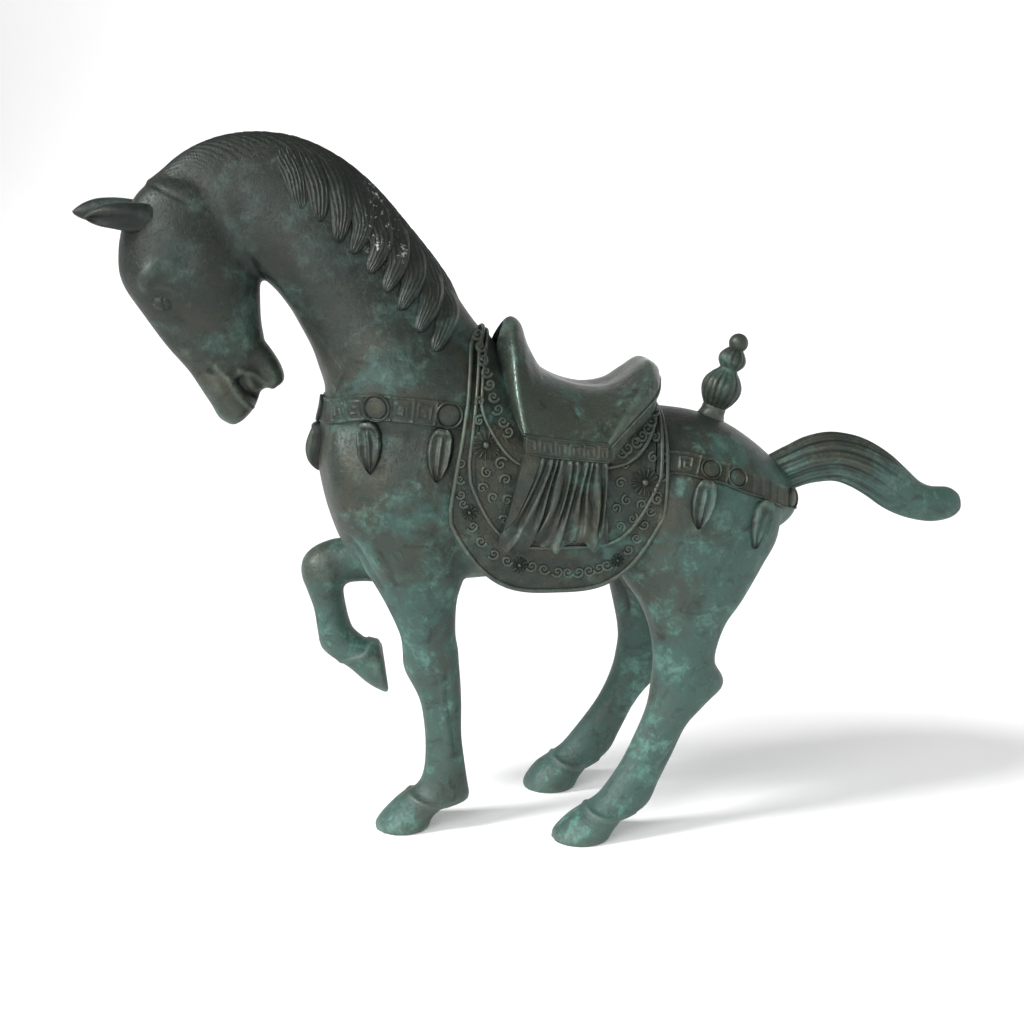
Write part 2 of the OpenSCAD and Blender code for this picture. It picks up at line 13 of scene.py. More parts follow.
import bmesh
import bpy
import numpy as np
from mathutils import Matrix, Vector


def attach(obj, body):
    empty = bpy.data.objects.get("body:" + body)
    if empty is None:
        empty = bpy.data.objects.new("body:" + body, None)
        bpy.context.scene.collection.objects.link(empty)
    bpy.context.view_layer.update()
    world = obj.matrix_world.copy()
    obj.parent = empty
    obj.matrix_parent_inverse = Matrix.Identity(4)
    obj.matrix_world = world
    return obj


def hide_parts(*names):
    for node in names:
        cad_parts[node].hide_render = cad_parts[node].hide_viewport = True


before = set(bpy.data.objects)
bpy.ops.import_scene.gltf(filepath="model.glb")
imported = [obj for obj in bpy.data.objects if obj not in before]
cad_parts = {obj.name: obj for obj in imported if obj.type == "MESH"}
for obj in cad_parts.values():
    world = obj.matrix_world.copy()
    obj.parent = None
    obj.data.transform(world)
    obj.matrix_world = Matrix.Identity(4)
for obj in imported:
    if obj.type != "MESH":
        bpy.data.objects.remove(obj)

Array = np.ndarray
Rows = tuple[tuple[float, ...], ...]
MM = 0.001
SHARP = math.radians(40)
LOG = logging.getLogger("horse")
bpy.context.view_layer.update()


class Side(Enum):
    """Side of the horse that a stroke is drawn on, as the sign of its normals' Y."""

    NEAR = -1
    BOTH = 0


# ------------------------------------------------------------------ surfaces


def spline(rows: Array, count: int) -> Array:
    """Smooth curve through every row: a Catmull-Rom cubic, sampled at even steps.

    Args:
        rows: Control rows, one per line, of any width.
        count: How many rows to return.

    Returns:
        The sampled rows.
    """
    rows = np.asarray(rows, float)
    last = len(rows) - 1
    at = np.linspace(0, last, count)
    i = np.minimum(at.astype(int), last - 1)
    t = (at - i)[:, None]
    a, b = rows[np.maximum(i - 1, 0)], rows[i]
    c, d = rows[i + 1], rows[np.minimum(i + 2, last)]
    square, cube = 2 * a - 5 * b + 4 * c - d, 3 * b - a - 3 * c + d
    return 0.5 * (2 * b + (c - a) * t + square * t**2 + cube * t**3)


def sections(rows: Rows, count: int, sides: int) -> Array:
    """Grid of oval sections. A row is front x, z, back x, z, middle y, half-width and taper.

    A point at angle a is the middle plus cos a of the half line from back to front, less sin a
    of the half-width along Y. The half-width shrinks by the taper towards the front point.

    Args:
        rows: Section rows.
        count: Sections along the piece.
        sides: Points round each section.

    Returns:
        Points of shape (count, sides, 3).
    """
    r = spline(rows, count)[:, None, :]
    a = around(sides)
    x = (r[..., 0] + r[..., 2]) / 2 + (r[..., 0] - r[..., 2]) / 2 * np.cos(a)
    z = (r[..., 1] + r[..., 3]) / 2 + (r[..., 1] - r[..., 3]) / 2 * np.cos(a)
    y = r[..., 4] - r[..., 5] * (1 - r[..., 6] * np.cos(a)) * np.sin(a)
    return np.stack([x, y, z], -1)


def down(count: int, low: float = 0.0, high: float = 1.0) -> Array:
    """Even steps as a column, for the first axis of a grid."""
    return np.linspace(low, high, count)[:, None]


def across(count: int, low: float = 0.0, high: float = 1.0) -> Array:
    """Even steps as a row, for the second axis of a grid."""
    return np.linspace(low, high, count)[None, :]


def around(count: int) -> Array:
    """Even angles over a full turn, as a row."""
    return np.linspace(0, 2 * math.pi, count, endpoint=False)[None, :]


def cosine(turns: Array) -> Array:
    """Cosine of an angle that is given in turns."""
    return np.cos(2 * math.pi * turns)


def unit(v: Array) -> Array:
    """Vectors scaled to length one."""
    return v / np.maximum(np.linalg.norm(v, axis=-1, keepdims=True), 1e-9)


def gauss(d: Array, width: float) -> Array:
    """Bell curve: e to the minus square of d over width."""
    return np.exp(-((d / width) ** 2))


def blend(low: float, high: float, x: Array) -> Array:
    """Smooth step from 0 at low to 1 at high."""
    t = np.clip((x - low) / (high - low), 0, 1)
    return t * t * (3 - 2 * t)


def placed(name: str, data: bpy.types.ID) -> bpy.types.Object:
    """New object in the scene that shows a mesh, a light or a camera."""
    obj = bpy.data.objects.new(name, data)
    bpy.context.scene.collection.objects.link(obj)
    return obj


@dataclass
class Surface:
    """A mesh in the making: points in millimetres, polygons, and a tone per point.

    Tone runs from 0 in a hollow to 1 on a rubbed high spot and drives the patina. On the
    seat's pommel and cantle tops it also carries a painted highlight.
    """

    points: Array
    quads: Array
    tris: Array = field(default_factory=lambda: np.zeros((0, 3), int))
    tone: Array | None = None

    def __post_init__(self) -> None:
        """Gives an untoned surface the middle tone."""
        if self.tone is None:
            self.tone = np.full(len(self.points), 0.5)

    @staticmethod
    def joined(parts: Sequence["Surface"]) -> "Surface":
        """One surface that holds all the parts as separate islands."""
        start = np.cumsum([0] + [len(p.points) for p in parts[:-1]])
        return Surface(
            np.concatenate([p.points for p in parts]),
            np.concatenate([p.quads + s for p, s in zip(parts, start)]),
            np.concatenate([p.tris + s for p, s in zip(parts, start)]),
            np.concatenate([p.tone for p in parts]),
        )

    def mirrored(self) -> "Surface":
        """The same surface on the other side of the horse, with its faces turned outwards again."""
        return Surface(self.points * (1, -1, 1), self.quads[:, ::-1], self.tris[:, ::-1], self.tone)

    def mesh(self, name: str) -> bpy.types.Mesh:
        """Mesh datablock in metres, smooth but for edges sharper than SHARP."""
        mesh = bpy.data.meshes.new(name)
        quads, tris = len(self.quads), len(self.tris)
        mesh.vertices.add(len(self.points))
        mesh.vertices.foreach_set("co", (self.points * MM).ravel())
        mesh.loops.add(4 * quads + 3 * tris)
        corners = np.concatenate([self.quads.ravel(), self.tris.ravel()])
        mesh.loops.foreach_set("vertex_index", corners.astype(np.int32))
        mesh.polygons.add(quads + tris)
        starts = np.concatenate([4 * np.arange(quads), 4 * quads + 3 * np.arange(tris)])
        mesh.polygons.foreach_set("loop_start", starts.astype(np.int32))
        mesh.update(calc_edges=True)
        mesh.validate()
        mesh.shade_smooth()
        mesh.set_sharp_from_angle(angle=SHARP)
        tone = mesh.attributes.new("tone", "FLOAT", "POINT")
        tone.data.foreach_set("value", self.tone.astype(np.float32))
        return mesh

    def piece(self, name: str) -> bpy.types.Object:
        """Object at the origin that shows this surface."""
        return placed(name, self.mesh(name))


def grid_quads(rows: int, columns: int) -> Array:
    """Quads between neighbouring points of a grid of closed rings, stored ring after ring."""
    i, j = np.meshgrid(np.arange(rows - 1), np.arange(columns), indexing="ij")
    k = (j + 1) % columns
    corners = [i * columns + j, i * columns + k, (i + 1) * columns + k, (i + 1) * columns + j]
    return np.stack(corners, -1).reshape(-1, 4)


def outward(surface: Surface) -> Surface:
    """The same surface with its faces turned so that its signed volume is positive."""
    p = surface.points
    fans = np.concatenate([surface.quads[:, [0, 1, 2]], surface.quads[:, [0, 2, 3]], surface.tris])
    volume = np.einsum("ij,ij->i", p[fans[:, 0]], np.cross(p[fans[:, 1]], p[fans[:, 2]])).sum()
    if volume < 0:
        surface.quads, surface.tris = surface.quads[:, ::-1], surface.tris[:, ::-1]
    return surface


def skin(grid: Array, tone: Array | None = None) -> Surface:
    """Closed tube over a grid of rings, with a pole in the middle of each end.

    Args:
        grid: Points of shape (rings, sides, 3).
        tone: Tone of each point, of shape (rings, sides).

    Returns:
        The closed surface.
    """
    rings, sides, _ = grid.shape
    points = np.concatenate([grid.reshape(-1, 3), grid[0].mean(0)[None], grid[-1].mean(0)[None]])
    j = np.arange(sides)
    k = (j + 1) % sides
    first, last = rings * sides, rings * sides + 1
    tris = np.concatenate([
        np.stack([k, j, np.full(sides, first)], -1),
        np.stack([j + (rings - 1) * sides, k + (rings - 1) * sides, np.full(sides, last)], -1),
    ])
    flat = None
    if tone is not None:
        flat = np.concatenate([tone.ravel(), [tone[0].mean(), tone[-1].mean()]])
    return outward(Surface(points, grid_quads(rings, sides), tris, flat))


def slab(outer: Array, inner: Array, tone: Array | None = None) -> Surface:
    """Closed plate between two grids of the same shape, with its rim made of quads.

    Args:
        outer: Points of the shown face, of shape (rows, columns, 3).
        inner: Points of the hidden face.
        tone: Tone of the shown face; the hidden face takes the middle tone.

    Returns:
        The closed surface.
    """
    rows, columns, _ = outer.shape
    ring = np.concatenate([outer, inner[:, ::-1]], 1)
    k = np.arange(columns - 1)
    other = 2 * columns - 1 - k
    cap = np.stack([k, other, other - 1, k + 1], -1)
    far_cap = (cap + (rows - 1) * 2 * columns)[:, ::-1]
    quads = np.concatenate([grid_quads(rows, 2 * columns), cap, far_cap])
    shade = None
    if tone is not None:
        shade = np.concatenate([tone, np.full_like(tone, 0.5)], 1).ravel()
    return outward(Surface(ring.reshape(-1, 3), quads, tone=shade))


def grid_normals(grid: Array) -> Array:
    """Unit normals of a grid: the cross product of its steps along rows and columns."""
    return unit(np.cross(np.gradient(grid, axis=0), np.gradient(grid, axis=1)))


def line_distance(p: Array, line: Array) -> tuple[Array, Array]:
    """Distance from points to a broken line, and how far along it the nearest point lies.

    Args:
        p: Points of shape (n, d).
        line: Corners of shape (m, d).

    Returns:
        The distances, and the fraction of the line's length at the nearest point.
    """
    start, step = line[:-1], np.diff(line, axis=0)
    size = np.maximum((step**2).sum(1), 1e-9)
    t = np.clip(((p[:, None] - start) * step).sum(-1) / size, 0, 1)
    gap = np.linalg.norm(p[:, None] - start - t[..., None] * step, axis=-1)
    nearest = gap.argmin(1)
    run = np.concatenate([[0], np.cumsum(np.sqrt(size))])
    pick = np.arange(len(p))
    along = (run[nearest] + t[pick, nearest] * np.sqrt(size[nearest])) / run[-1]
    return gap[pick, nearest], along


# ------------------------------------------------------------------ castings


class Assembly:
    """Part of the horse that makes its own pieces and dresses them."""

    def pieces(self) -> dict[str, bpy.types.Object]:
        """The pieces, by the CAD node that each one stands for."""
        raise NotImplementedError

    def build(self, finishes: dict[str, bpy.types.Material]) -> None:
        """Makes the pieces, then dresses and reports each one."""
        for node, piece in self.pieces().items():
            dress(node, piece, finishes)


@dataclass(frozen=True)
class Swell:
    """Soft mass or hollow: a bell curve of the distance from a point, measured in three radii."""

    at: tuple[float, float, float]
    radii: tuple[float, float, float]
    rise: float

    def height(self, p: Array) -> Array:
        """How far each point is lifted along its normal."""
        d = (p - np.array(self.at)) / np.array(self.radii)
        return self.rise * np.exp(-(d**2).sum(1))


@dataclass(frozen=True)
class Stroke:
    """Ridge or groove along a line in the side view, on one side of the horse or on both.

    Its height is a bell curve of the distance from the line, faded towards the line's ends.
    """

    line: tuple[tuple[float, float], ...]
    width: float
    rise: float
    side: Side = Side.BOTH
    reach: tuple[float, float] = (-200.0, 200.0)
    fade: float = 0.15

    def height(self, p: Array, normals: Array) -> Array:
        """How far each point is lifted along its normal."""
        line = spline(np.array(self.line), 4 * len(self.line))
        low, high = line.min(0) - 3 * self.width, line.max(0) + 3 * self.width
        xz = p[:, [0, 2]]
        near = ((xz > low) & (xz < high)).all(1)
        near &= (p[:, 1] > self.reach[0]) & (p[:, 1] < self.reach[1])
        if self.side is not Side.BOTH:
            near &= normals[:, 1] * self.side.value > 0
        lift = np.zeros(len(p))
        if near.any():
            gap, along = line_distance(xz[near], line)
            ends = 1.0
            if self.fade:
                ends = blend(0, self.fade, along) * blend(0, self.fade, 1 - along)
            facing = blend(0.1, 0.5, np.abs(normals[near, 1]))
            lift[near] = self.rise * gauss(gap, self.width) * ends * facing
        return lift


@dataclass(frozen=True)
class Anatomy:
    """Oval sections of the horse, in the same form and frame as the CAD: see sections()."""

    barrel: Rows = (
        (-147, 260, -147, 248, 0, 8, 0), (-139, 290, -141, 221, 0, 36, 0),
        (-126, 300, -131, 196, 0, 48, 0), (-106, 306, -113, 177, 0, 54, 0),
        (-79, 311, -88, 171, 0, 57, 0), (-53, 313, -54, 172, 0, 58, 0),
        (-19, 304, -19, 174, 0, 60, 0), (14, 294, 15, 174, 0, 61, 0),
        (48, 290, 50, 175, 0, 61, 0), (83, 287, 85, 179, 0, 61, 0),
        (111, 282, 113, 186, 0, 60, 0), (135, 271, 138, 192, 0, 54, 0),
        (157, 254, 159, 202, 0, 41, 0), (172, 237, 174, 214, 0, 20, 0),
    )
    neck: Rows = (
        (-252, 436, -206, 396, 0, 15, 0), (-246, 440, -194, 386, 0, 18, 0.05),
        (-223, 457, -186, 381, 0, 21, 0.15),
        (-195, 466, -178, 373, 0, 23, 0.3), (-163, 465, -171, 366, 0, 26, 0.35),
        (-135, 454, -163, 355, 0, 29, 0.35), (-110, 435, -157, 344, 0, 32, 0.35),
        (-85, 406, -150, 330, 0, 36, 0.3), (-65, 380, -146, 318, 0, 40, 0.25),
        (-49, 354, -142, 303, 0, 45, 0.2), (-33, 334, -144, 291, 0, 50, 0.1),
        (-13, 316, -146, 276, 0, 52, 0), (20, 288, -138, 245, 0, 50, 0),
    )
    head: Rows = (
        (-236, 444, -204, 440, 0, 8, 0), (-256, 430, -196, 431, 0, 19, 0),
        (-266, 412, -183, 405, 0, 24, -0.1), (-270.5, 392, -181, 383, 0, 27, -0.1),
        (-269, 373, -182, 366, 0, 26, 0), (-256.5, 352, -182, 348, 0, 21, 0.1),
        (-243, 332, -180, 333, 0, 18, 0.1), (-230, 316, -180, 322, 0, 17, 0),
        (-222, 303, -181, 311, 0, 17, 0), (-216, 293, -184, 301, 0, 16, 0),
        (-211, 284, -188, 291, 0, 13, 0), (-203, 279, -194, 284, 0, 7, 0),
    )
    chin: Rows = (
        (-208, 340, -188, 348, 0, 10, 0), (-199, 323, -182, 337, 0, 12, 0),
        (-193, 313, -175, 327, 0, 12.5, 0), (-187, 306, -170, 318, 0, 12.5, 0),
        (-180, 303, -168, 310, 0, 11, 0), (-176, 303, -170, 306, 0, 6, 0),
    )
    left_fore: Rows = (
        (-124, 240, -52, 248, -20, 24, 0), (-127, 218, -48, 225, -26, 27, 0),
        (-121, 190, -49, 198, -27, 26, 0), (-114, 177, -53, 179, -25, 22, 0),
        (-106, 162, -58, 162, -24, 19, 0), (-97, 141, -59, 140, -22, 16, 0),
        (-94, 127, -58, 126, -21, 16, 0), (-91, 110, -56, 110, -20, 15, 0),
        (-83, 90, -55, 88, -18, 12, 0), (-80, 67, -55, 65, -17, 11, 0),
        (-80, 49, -53, 46, -16, 13, 0), (-82, 36, -51, 31, -15, 14, 0),
        (-87, 28, -50, 20, -15, 15, 0), (-95, 24, -56, 16, -15, 16, 0),
        (-104, 16, -67, 14, -15, 18, 0), (-112, 7, -75, 7, -15, 20, 0),
        (-115, 2, -77, 2, -15, 20, 0), (-115, 0, -78, 0, -15, 19, 0),
    )
    right_fore: Rows = (
        (-66, 236, -60, 160, 18, 24, 0), (-88, 222, -72, 154, 26, 25, 0),
        (-106, 208, -88, 155, 32, 22, 0), (-124, 195, -107, 161, 35, 18, 0),
        (-140, 192, -120, 162, 36, 16, 0), (-152, 187, -130, 161, 36, 16, 0),
        (-159, 179, -132, 158, 36, 16, 0), (-160, 168, -132, 153, 36, 14, 0),
        (-157, 156, -131, 146, 36, 12, 0), (-153, 142, -129, 136, 36, 11, 0),
        (-151, 127, -126, 128, 36, 12, 0), (-149, 116, -121, 123, 36, 13, 0),
        (-143, 109, -117, 120, 36, 14, 0), (-130, 100, -111, 119, 36, 17, 0),
        (-117, 88, -108, 119, 36, 19, 0), (-105, 81, -108, 117, 36, 19, 0),
        (-102, 82, -106, 115, 36, 16, 0),
    )
    left_hind: Rows = (
        (30, 262, 128, 262, -20, 34, 0), (32, 238, 158, 235, -28, 36, 0),
        (39, 205, 157, 205, -34, 34, 0), (50, 180, 146, 184, -37, 31, 0),
        (62, 162, 132, 161, -40, 27, 0), (68, 148, 122, 148, -42, 24, 0),
        (71, 135, 116, 133, -43, 20, 0), (72, 121, 114, 119, -44, 17, 0),
        (71, 106, 119, 104, -45, 15, 0), (67, 88, 108, 91, -46, 14, 0),
        (60, 70, 95, 76, -46, 13, 0), (51, 52, 85, 56, -47, 12, 0),
        (41, 37, 76, 38, -48, 13, 0), (33, 28, 70, 25, -49, 14, 0),
        (24, 22, 62, 18, -49, 15, 0), (13, 14, 53, 15, -49, 18, 0),
        (5, 6, 46, 7, -49, 20, 0), (3, 2, 43, 2, -49, 20, 0), (3, 0, 42, 0, -49, 19, 0),
    )
    right_hind: Rows = (
        (30, 262, 128, 262, 20, 34, 0), (32, 238, 158, 235, 28, 36, 0),
        (36, 205, 160, 205, 34, 34, 0), (48, 180, 150, 180, 37, 31, 0),
        (55, 164, 137, 160, 40, 27, 0), (58, 150, 130, 146, 42, 24, 0),
        (61, 137, 124, 127, 43, 20, 0), (64, 122, 119, 113, 44, 17, 0),
        (65, 107, 114, 99, 45, 15, 0), (60, 86, 99, 86, 46, 14, 0),
        (52, 68, 84, 71, 46, 13, 0), (43, 54, 76, 58, 47, 12, 0),
        (31, 38, 68, 42, 48, 13, 0), (24, 30, 61, 28, 48, 14, 0),
        (16, 24, 53, 20, 48, 15, 0), (5, 16, 45, 16, 48, 18, 0),
        (-2, 7, 38, 8, 48, 20, 0), (-4, 2, 35, 2, 48, 20, 0), (-4, 0, 34, 0, 48, 19, 0),
    )
    ear: Rows = (
        (-240, 418, -243, 407, -10, 2, 0), (-248, 422, -250, 405, -14, 6, 0),
        (-262, 423.5, -263, 405.5, -17.5, 7.5, 0), (-274, 423, -274, 407.5, -18, 7, 0),
        (-282, 420.5, -281, 409, -17.5, 5.5, 0), (-287, 417.5, -286, 411, -17, 3.5, 0),
        (-290, 415, -289, 413, -17, 1.5, 0),
    )
    tail: Rows = (
        (150, 249, 165, 224, 0, 9, 0), (161, 252, 173, 226, 0, 10, 0),
        (172, 257, 180, 229, 0, 12, 0),
        (185, 263, 191, 232, 0, 13, 0), (201, 266, 206, 233, 0, 14, 0),
        (217, 264, 218, 229, 0, 15, 0), (231, 259, 230, 222, 0, 15, 0),
        (246, 250, 241, 214, 0, 15, 0), (258, 240, 252, 208, 0, 14, 0),
        (268, 231, 264, 204, 0, 13, 0), (277, 227, 278, 202, 0, 12, 0),
        (289, 226, 291, 204, 0, 9, 0), (296, 222, 298, 209, 0, 5, 0), (298, 218, 298, 214, 0, 2, 0),
    )


def both(at: tuple[float, float, float], radii: tuple[float, float, float], rise: float) -> tuple:
    """The same swell on the near side and on the far side."""
    return tuple(Swell((at[0], side * at[1], at[2]), radii, rise) for side in (-1, 1))


SWELLS = (
    # shoulder, chest, haunch and belly
    *both((-95, 52, 235), (24, 30, 34), 2.2),
    *both((-128, 18, 250), (16, 18, 24), 2.5),
    Swell((-137, 0, 246), (12, 5, 26), -1.8),
    *both((100, 58, 225), (34, 24, 34), 2.0),
    Swell((150, 0, 238), (16, 5, 22), -1.5),
    Swell((171, 0, 207), (10, 26, 16), 4.5),
    *both((160, 22, 196), (12, 14, 14), 2.0),
    *both((40, 58, 225), (18, 20, 30), -1.2),
    # cheek, temple, brow, nostril
    *both((-206, 26, 382), (20, 14, 22), 1.2),
    *both((-226, 28, 388), (8, 12, 8), -2.0),
    Swell((-252, -26, 378), (9, 12, 9), 2.2), Swell((-252, 15, 378), (9, 12, 9), 2.2),
    Swell((-240, -27, 350), (12, 9, 7), -1.4), Swell((-237, 20, 350), (12, 9, 7), -1.4),
    *both((-211, 17, 306), (7, 8, 8), 1.8),
    Swell((-216, -19, 316), (3.5, 6, 3), -2.2), Swell((-216, 17, 316), (3.5, 6, 3), -2.2),
    # knees, fetlocks and hocks
    Swell((-92, -22, 118), (10, 16, 10), 1.6), Swell((-62, -22, 126), (7, 12, 8), 1.2),
    Swell((-158, 36, 170), (10, 16, 12), 1.2),
    Swell((116, -45, 107), (7, 9, 8), 1.4), Swell((112, 45, 103), (7, 9, 8), 1.4),
    Swell((70, -45, 108), (8, 10, 10), 0.8), Swell((63, 45, 106), (8, 10, 10), 0.8),
)
NEAR_HALF, FAR_HALF = (-200.0, 0.0), (0.0, 200.0)
STROKES = (
    # neck: windpipe line and the dip behind the jaw
    Stroke(((-184, 392), (-170, 372), (-160, 352), (-154, 330)), 4.0, 1.0),
    Stroke(((-172, 392), (-160, 372), (-150, 350), (-144, 325)), 4.5, -0.8),
    Stroke(((-194, 428), (-190, 410), (-187, 394)), 5.0, -1.0, fade=0.4),
    # seam line at the poll
    Stroke(((-257, 434), (-247, 434), (-238, 430), (-227, 424.5), (-213, 420), (-206, 413)),
           0.9, -0.7, fade=0.1),
    # brow, lids and facial crest
    Stroke(((-242, 388), (-249, 382), (-253, 374), (-250, 366)), 3.4, 2.0, fade=0.3),
    Stroke(((-253, 369), (-245, 371), (-236, 369), (-230, 362)), 2.2, 0.9, fade=0.3),
    Stroke(((-251, 357), (-245, 353), (-237, 354), (-231, 360)), 2.2, 0.6, fade=0.4),
    Stroke(((-235, 350), (-224, 335), (-212, 321)), 5.0, 0.9, fade=0.4),
    # nostril fold, lips and mouth
    Stroke(((-214, 321), (-209, 317), (-204, 311), (-201, 306)), 1.6, 1.5),
    Stroke(((-203, 314), (-200, 304), (-192, 294), (-184, 288)), 1.8, 1.8, fade=0.05),
    Stroke(((-197, 313), (-192, 304), (-184, 297)), 2.6, -3.2, fade=0.05),
    Stroke(((-198, 317), (-188, 314), (-180, 307), (-173, 303)), 1.6, 1.4, fade=0.05),
    # crease between the raised forearm and the chest
    Stroke(((-133, 213), (-123, 200), (-114, 184), (-106, 168)), 2.2, -1.4, side=Side.NEAR),
    Stroke(((-112, 206), (-104, 190), (-98, 174)), 2.5, -1.0),
    # front of the thigh
    Stroke(((36, 190), (46, 176), (60, 160), (68, 143), (69, 128)), 2.6, -1.6),
    Stroke(((122, 215), (112, 190), (100, 168), (96, 150)), 5.0, -0.9),
    # tendons down the standing legs
    Stroke(((-66, 120), (-66, 95), (-62, 70), (-60, 50)), 1.6, -1.0, reach=NEAR_HALF),
    Stroke(((108, 96), (98, 82), (86, 64), (74, 48)), 1.6, -1.0, reach=NEAR_HALF),
    Stroke(((104, 92), (92, 78), (80, 62), (68, 50)), 1.6, -1.0, reach=FAR_HALF),
    # coronet lines above the hooves
    Stroke(((-95, 27), (-84, 21), (-70, 18), (-58, 20)), 1.5, 1.3, reach=NEAR_HALF, fade=0.0),
    Stroke(((22, 25), (32, 19), (46, 17), (58, 20)), 1.5, 1.3, reach=NEAR_HALF, fade=0.0),
    Stroke(((14, 26), (24, 20), (38, 17), (50, 21)), 1.5, 1.3, reach=FAR_HALF, fade=0.0),
    Stroke(((-140, 104), (-130, 108), (-119, 112), (-112, 121)), 1.5, 1.3, reach=FAR_HALF,
           fade=0.0),
)


@dataclass(frozen=True)
class Seam:
    """Flat joint between two castings: a plane that holds the Y axis, within a box.

    front and back are the seam's ends in the side view. The box keeps the cut local.
    """

    front: tuple[float, float]
    back: tuple[float, float]
    low: tuple[float, float, float]
    high: tuple[float, float, float]


class Relaxer:
    """Moves the points of a closed mesh towards the mean of their neighbours."""

    def __init__(self, quads: Array, count: int) -> None:
        """Lists each edge once.

        Args:
            quads: Polygons of the mesh.
            count: Number of points.
        """
        pairs = np.concatenate([quads[:, [i, (i + 1) % 4]] for i in range(4)])
        pairs = np.unique(np.sort(pairs, 1), axis=0)
        self.a = np.concatenate([pairs[:, 0], pairs[:, 1]])
        self.b = np.concatenate([pairs[:, 1], pairs[:, 0]])
        self.count = count
        self.degree = np.maximum(np.bincount(self.a, minlength=count), 1)

    def mean(self, values: Array) -> Array:
        """Mean of each point's neighbours, for one value or three per point."""
        if values.ndim == 1:
            return np.bincount(self.a, values[self.b], self.count) / self.degree
        return np.stack([self.mean(values[:, i]) for i in range(values.shape[1])], -1)

    def relax(self, values: Array, rounds: int, weight: Array | float = 1.0,
              back: float = 0.0) -> Array:
        """Repeated steps of half the way to the mean, each undone in part to keep the volume.

        Args:
            values: One value or three per point.
            rounds: How many steps.
            weight: Share of the step that each point takes.
            back: Share of a step that is undone after it.

        Returns:
            The relaxed values.
        """
        w = weight[:, None] if isinstance(weight, np.ndarray) and values.ndim == 2 else weight
        for _ in range(rounds):
            values = values + 0.5 * w * (self.mean(values) - values)
            if back:
                values = values - back * w * (self.mean(values) - values)
        return values


def point_normals(p: Array, quads: Array) -> Array:
    """Unit normal of each point: the sum of its quads' diagonal cross products."""
    face = np.cross(p[quads[:, 2]] - p[quads[:, 0]], p[quads[:, 3]] - p[quads[:, 1]])
    total = np.zeros_like(p)
    for i in range(4):
        for axis in range(3):
            total[:, axis] += np.bincount(quads[:, i], face[:, axis], len(p))
    return unit(total)


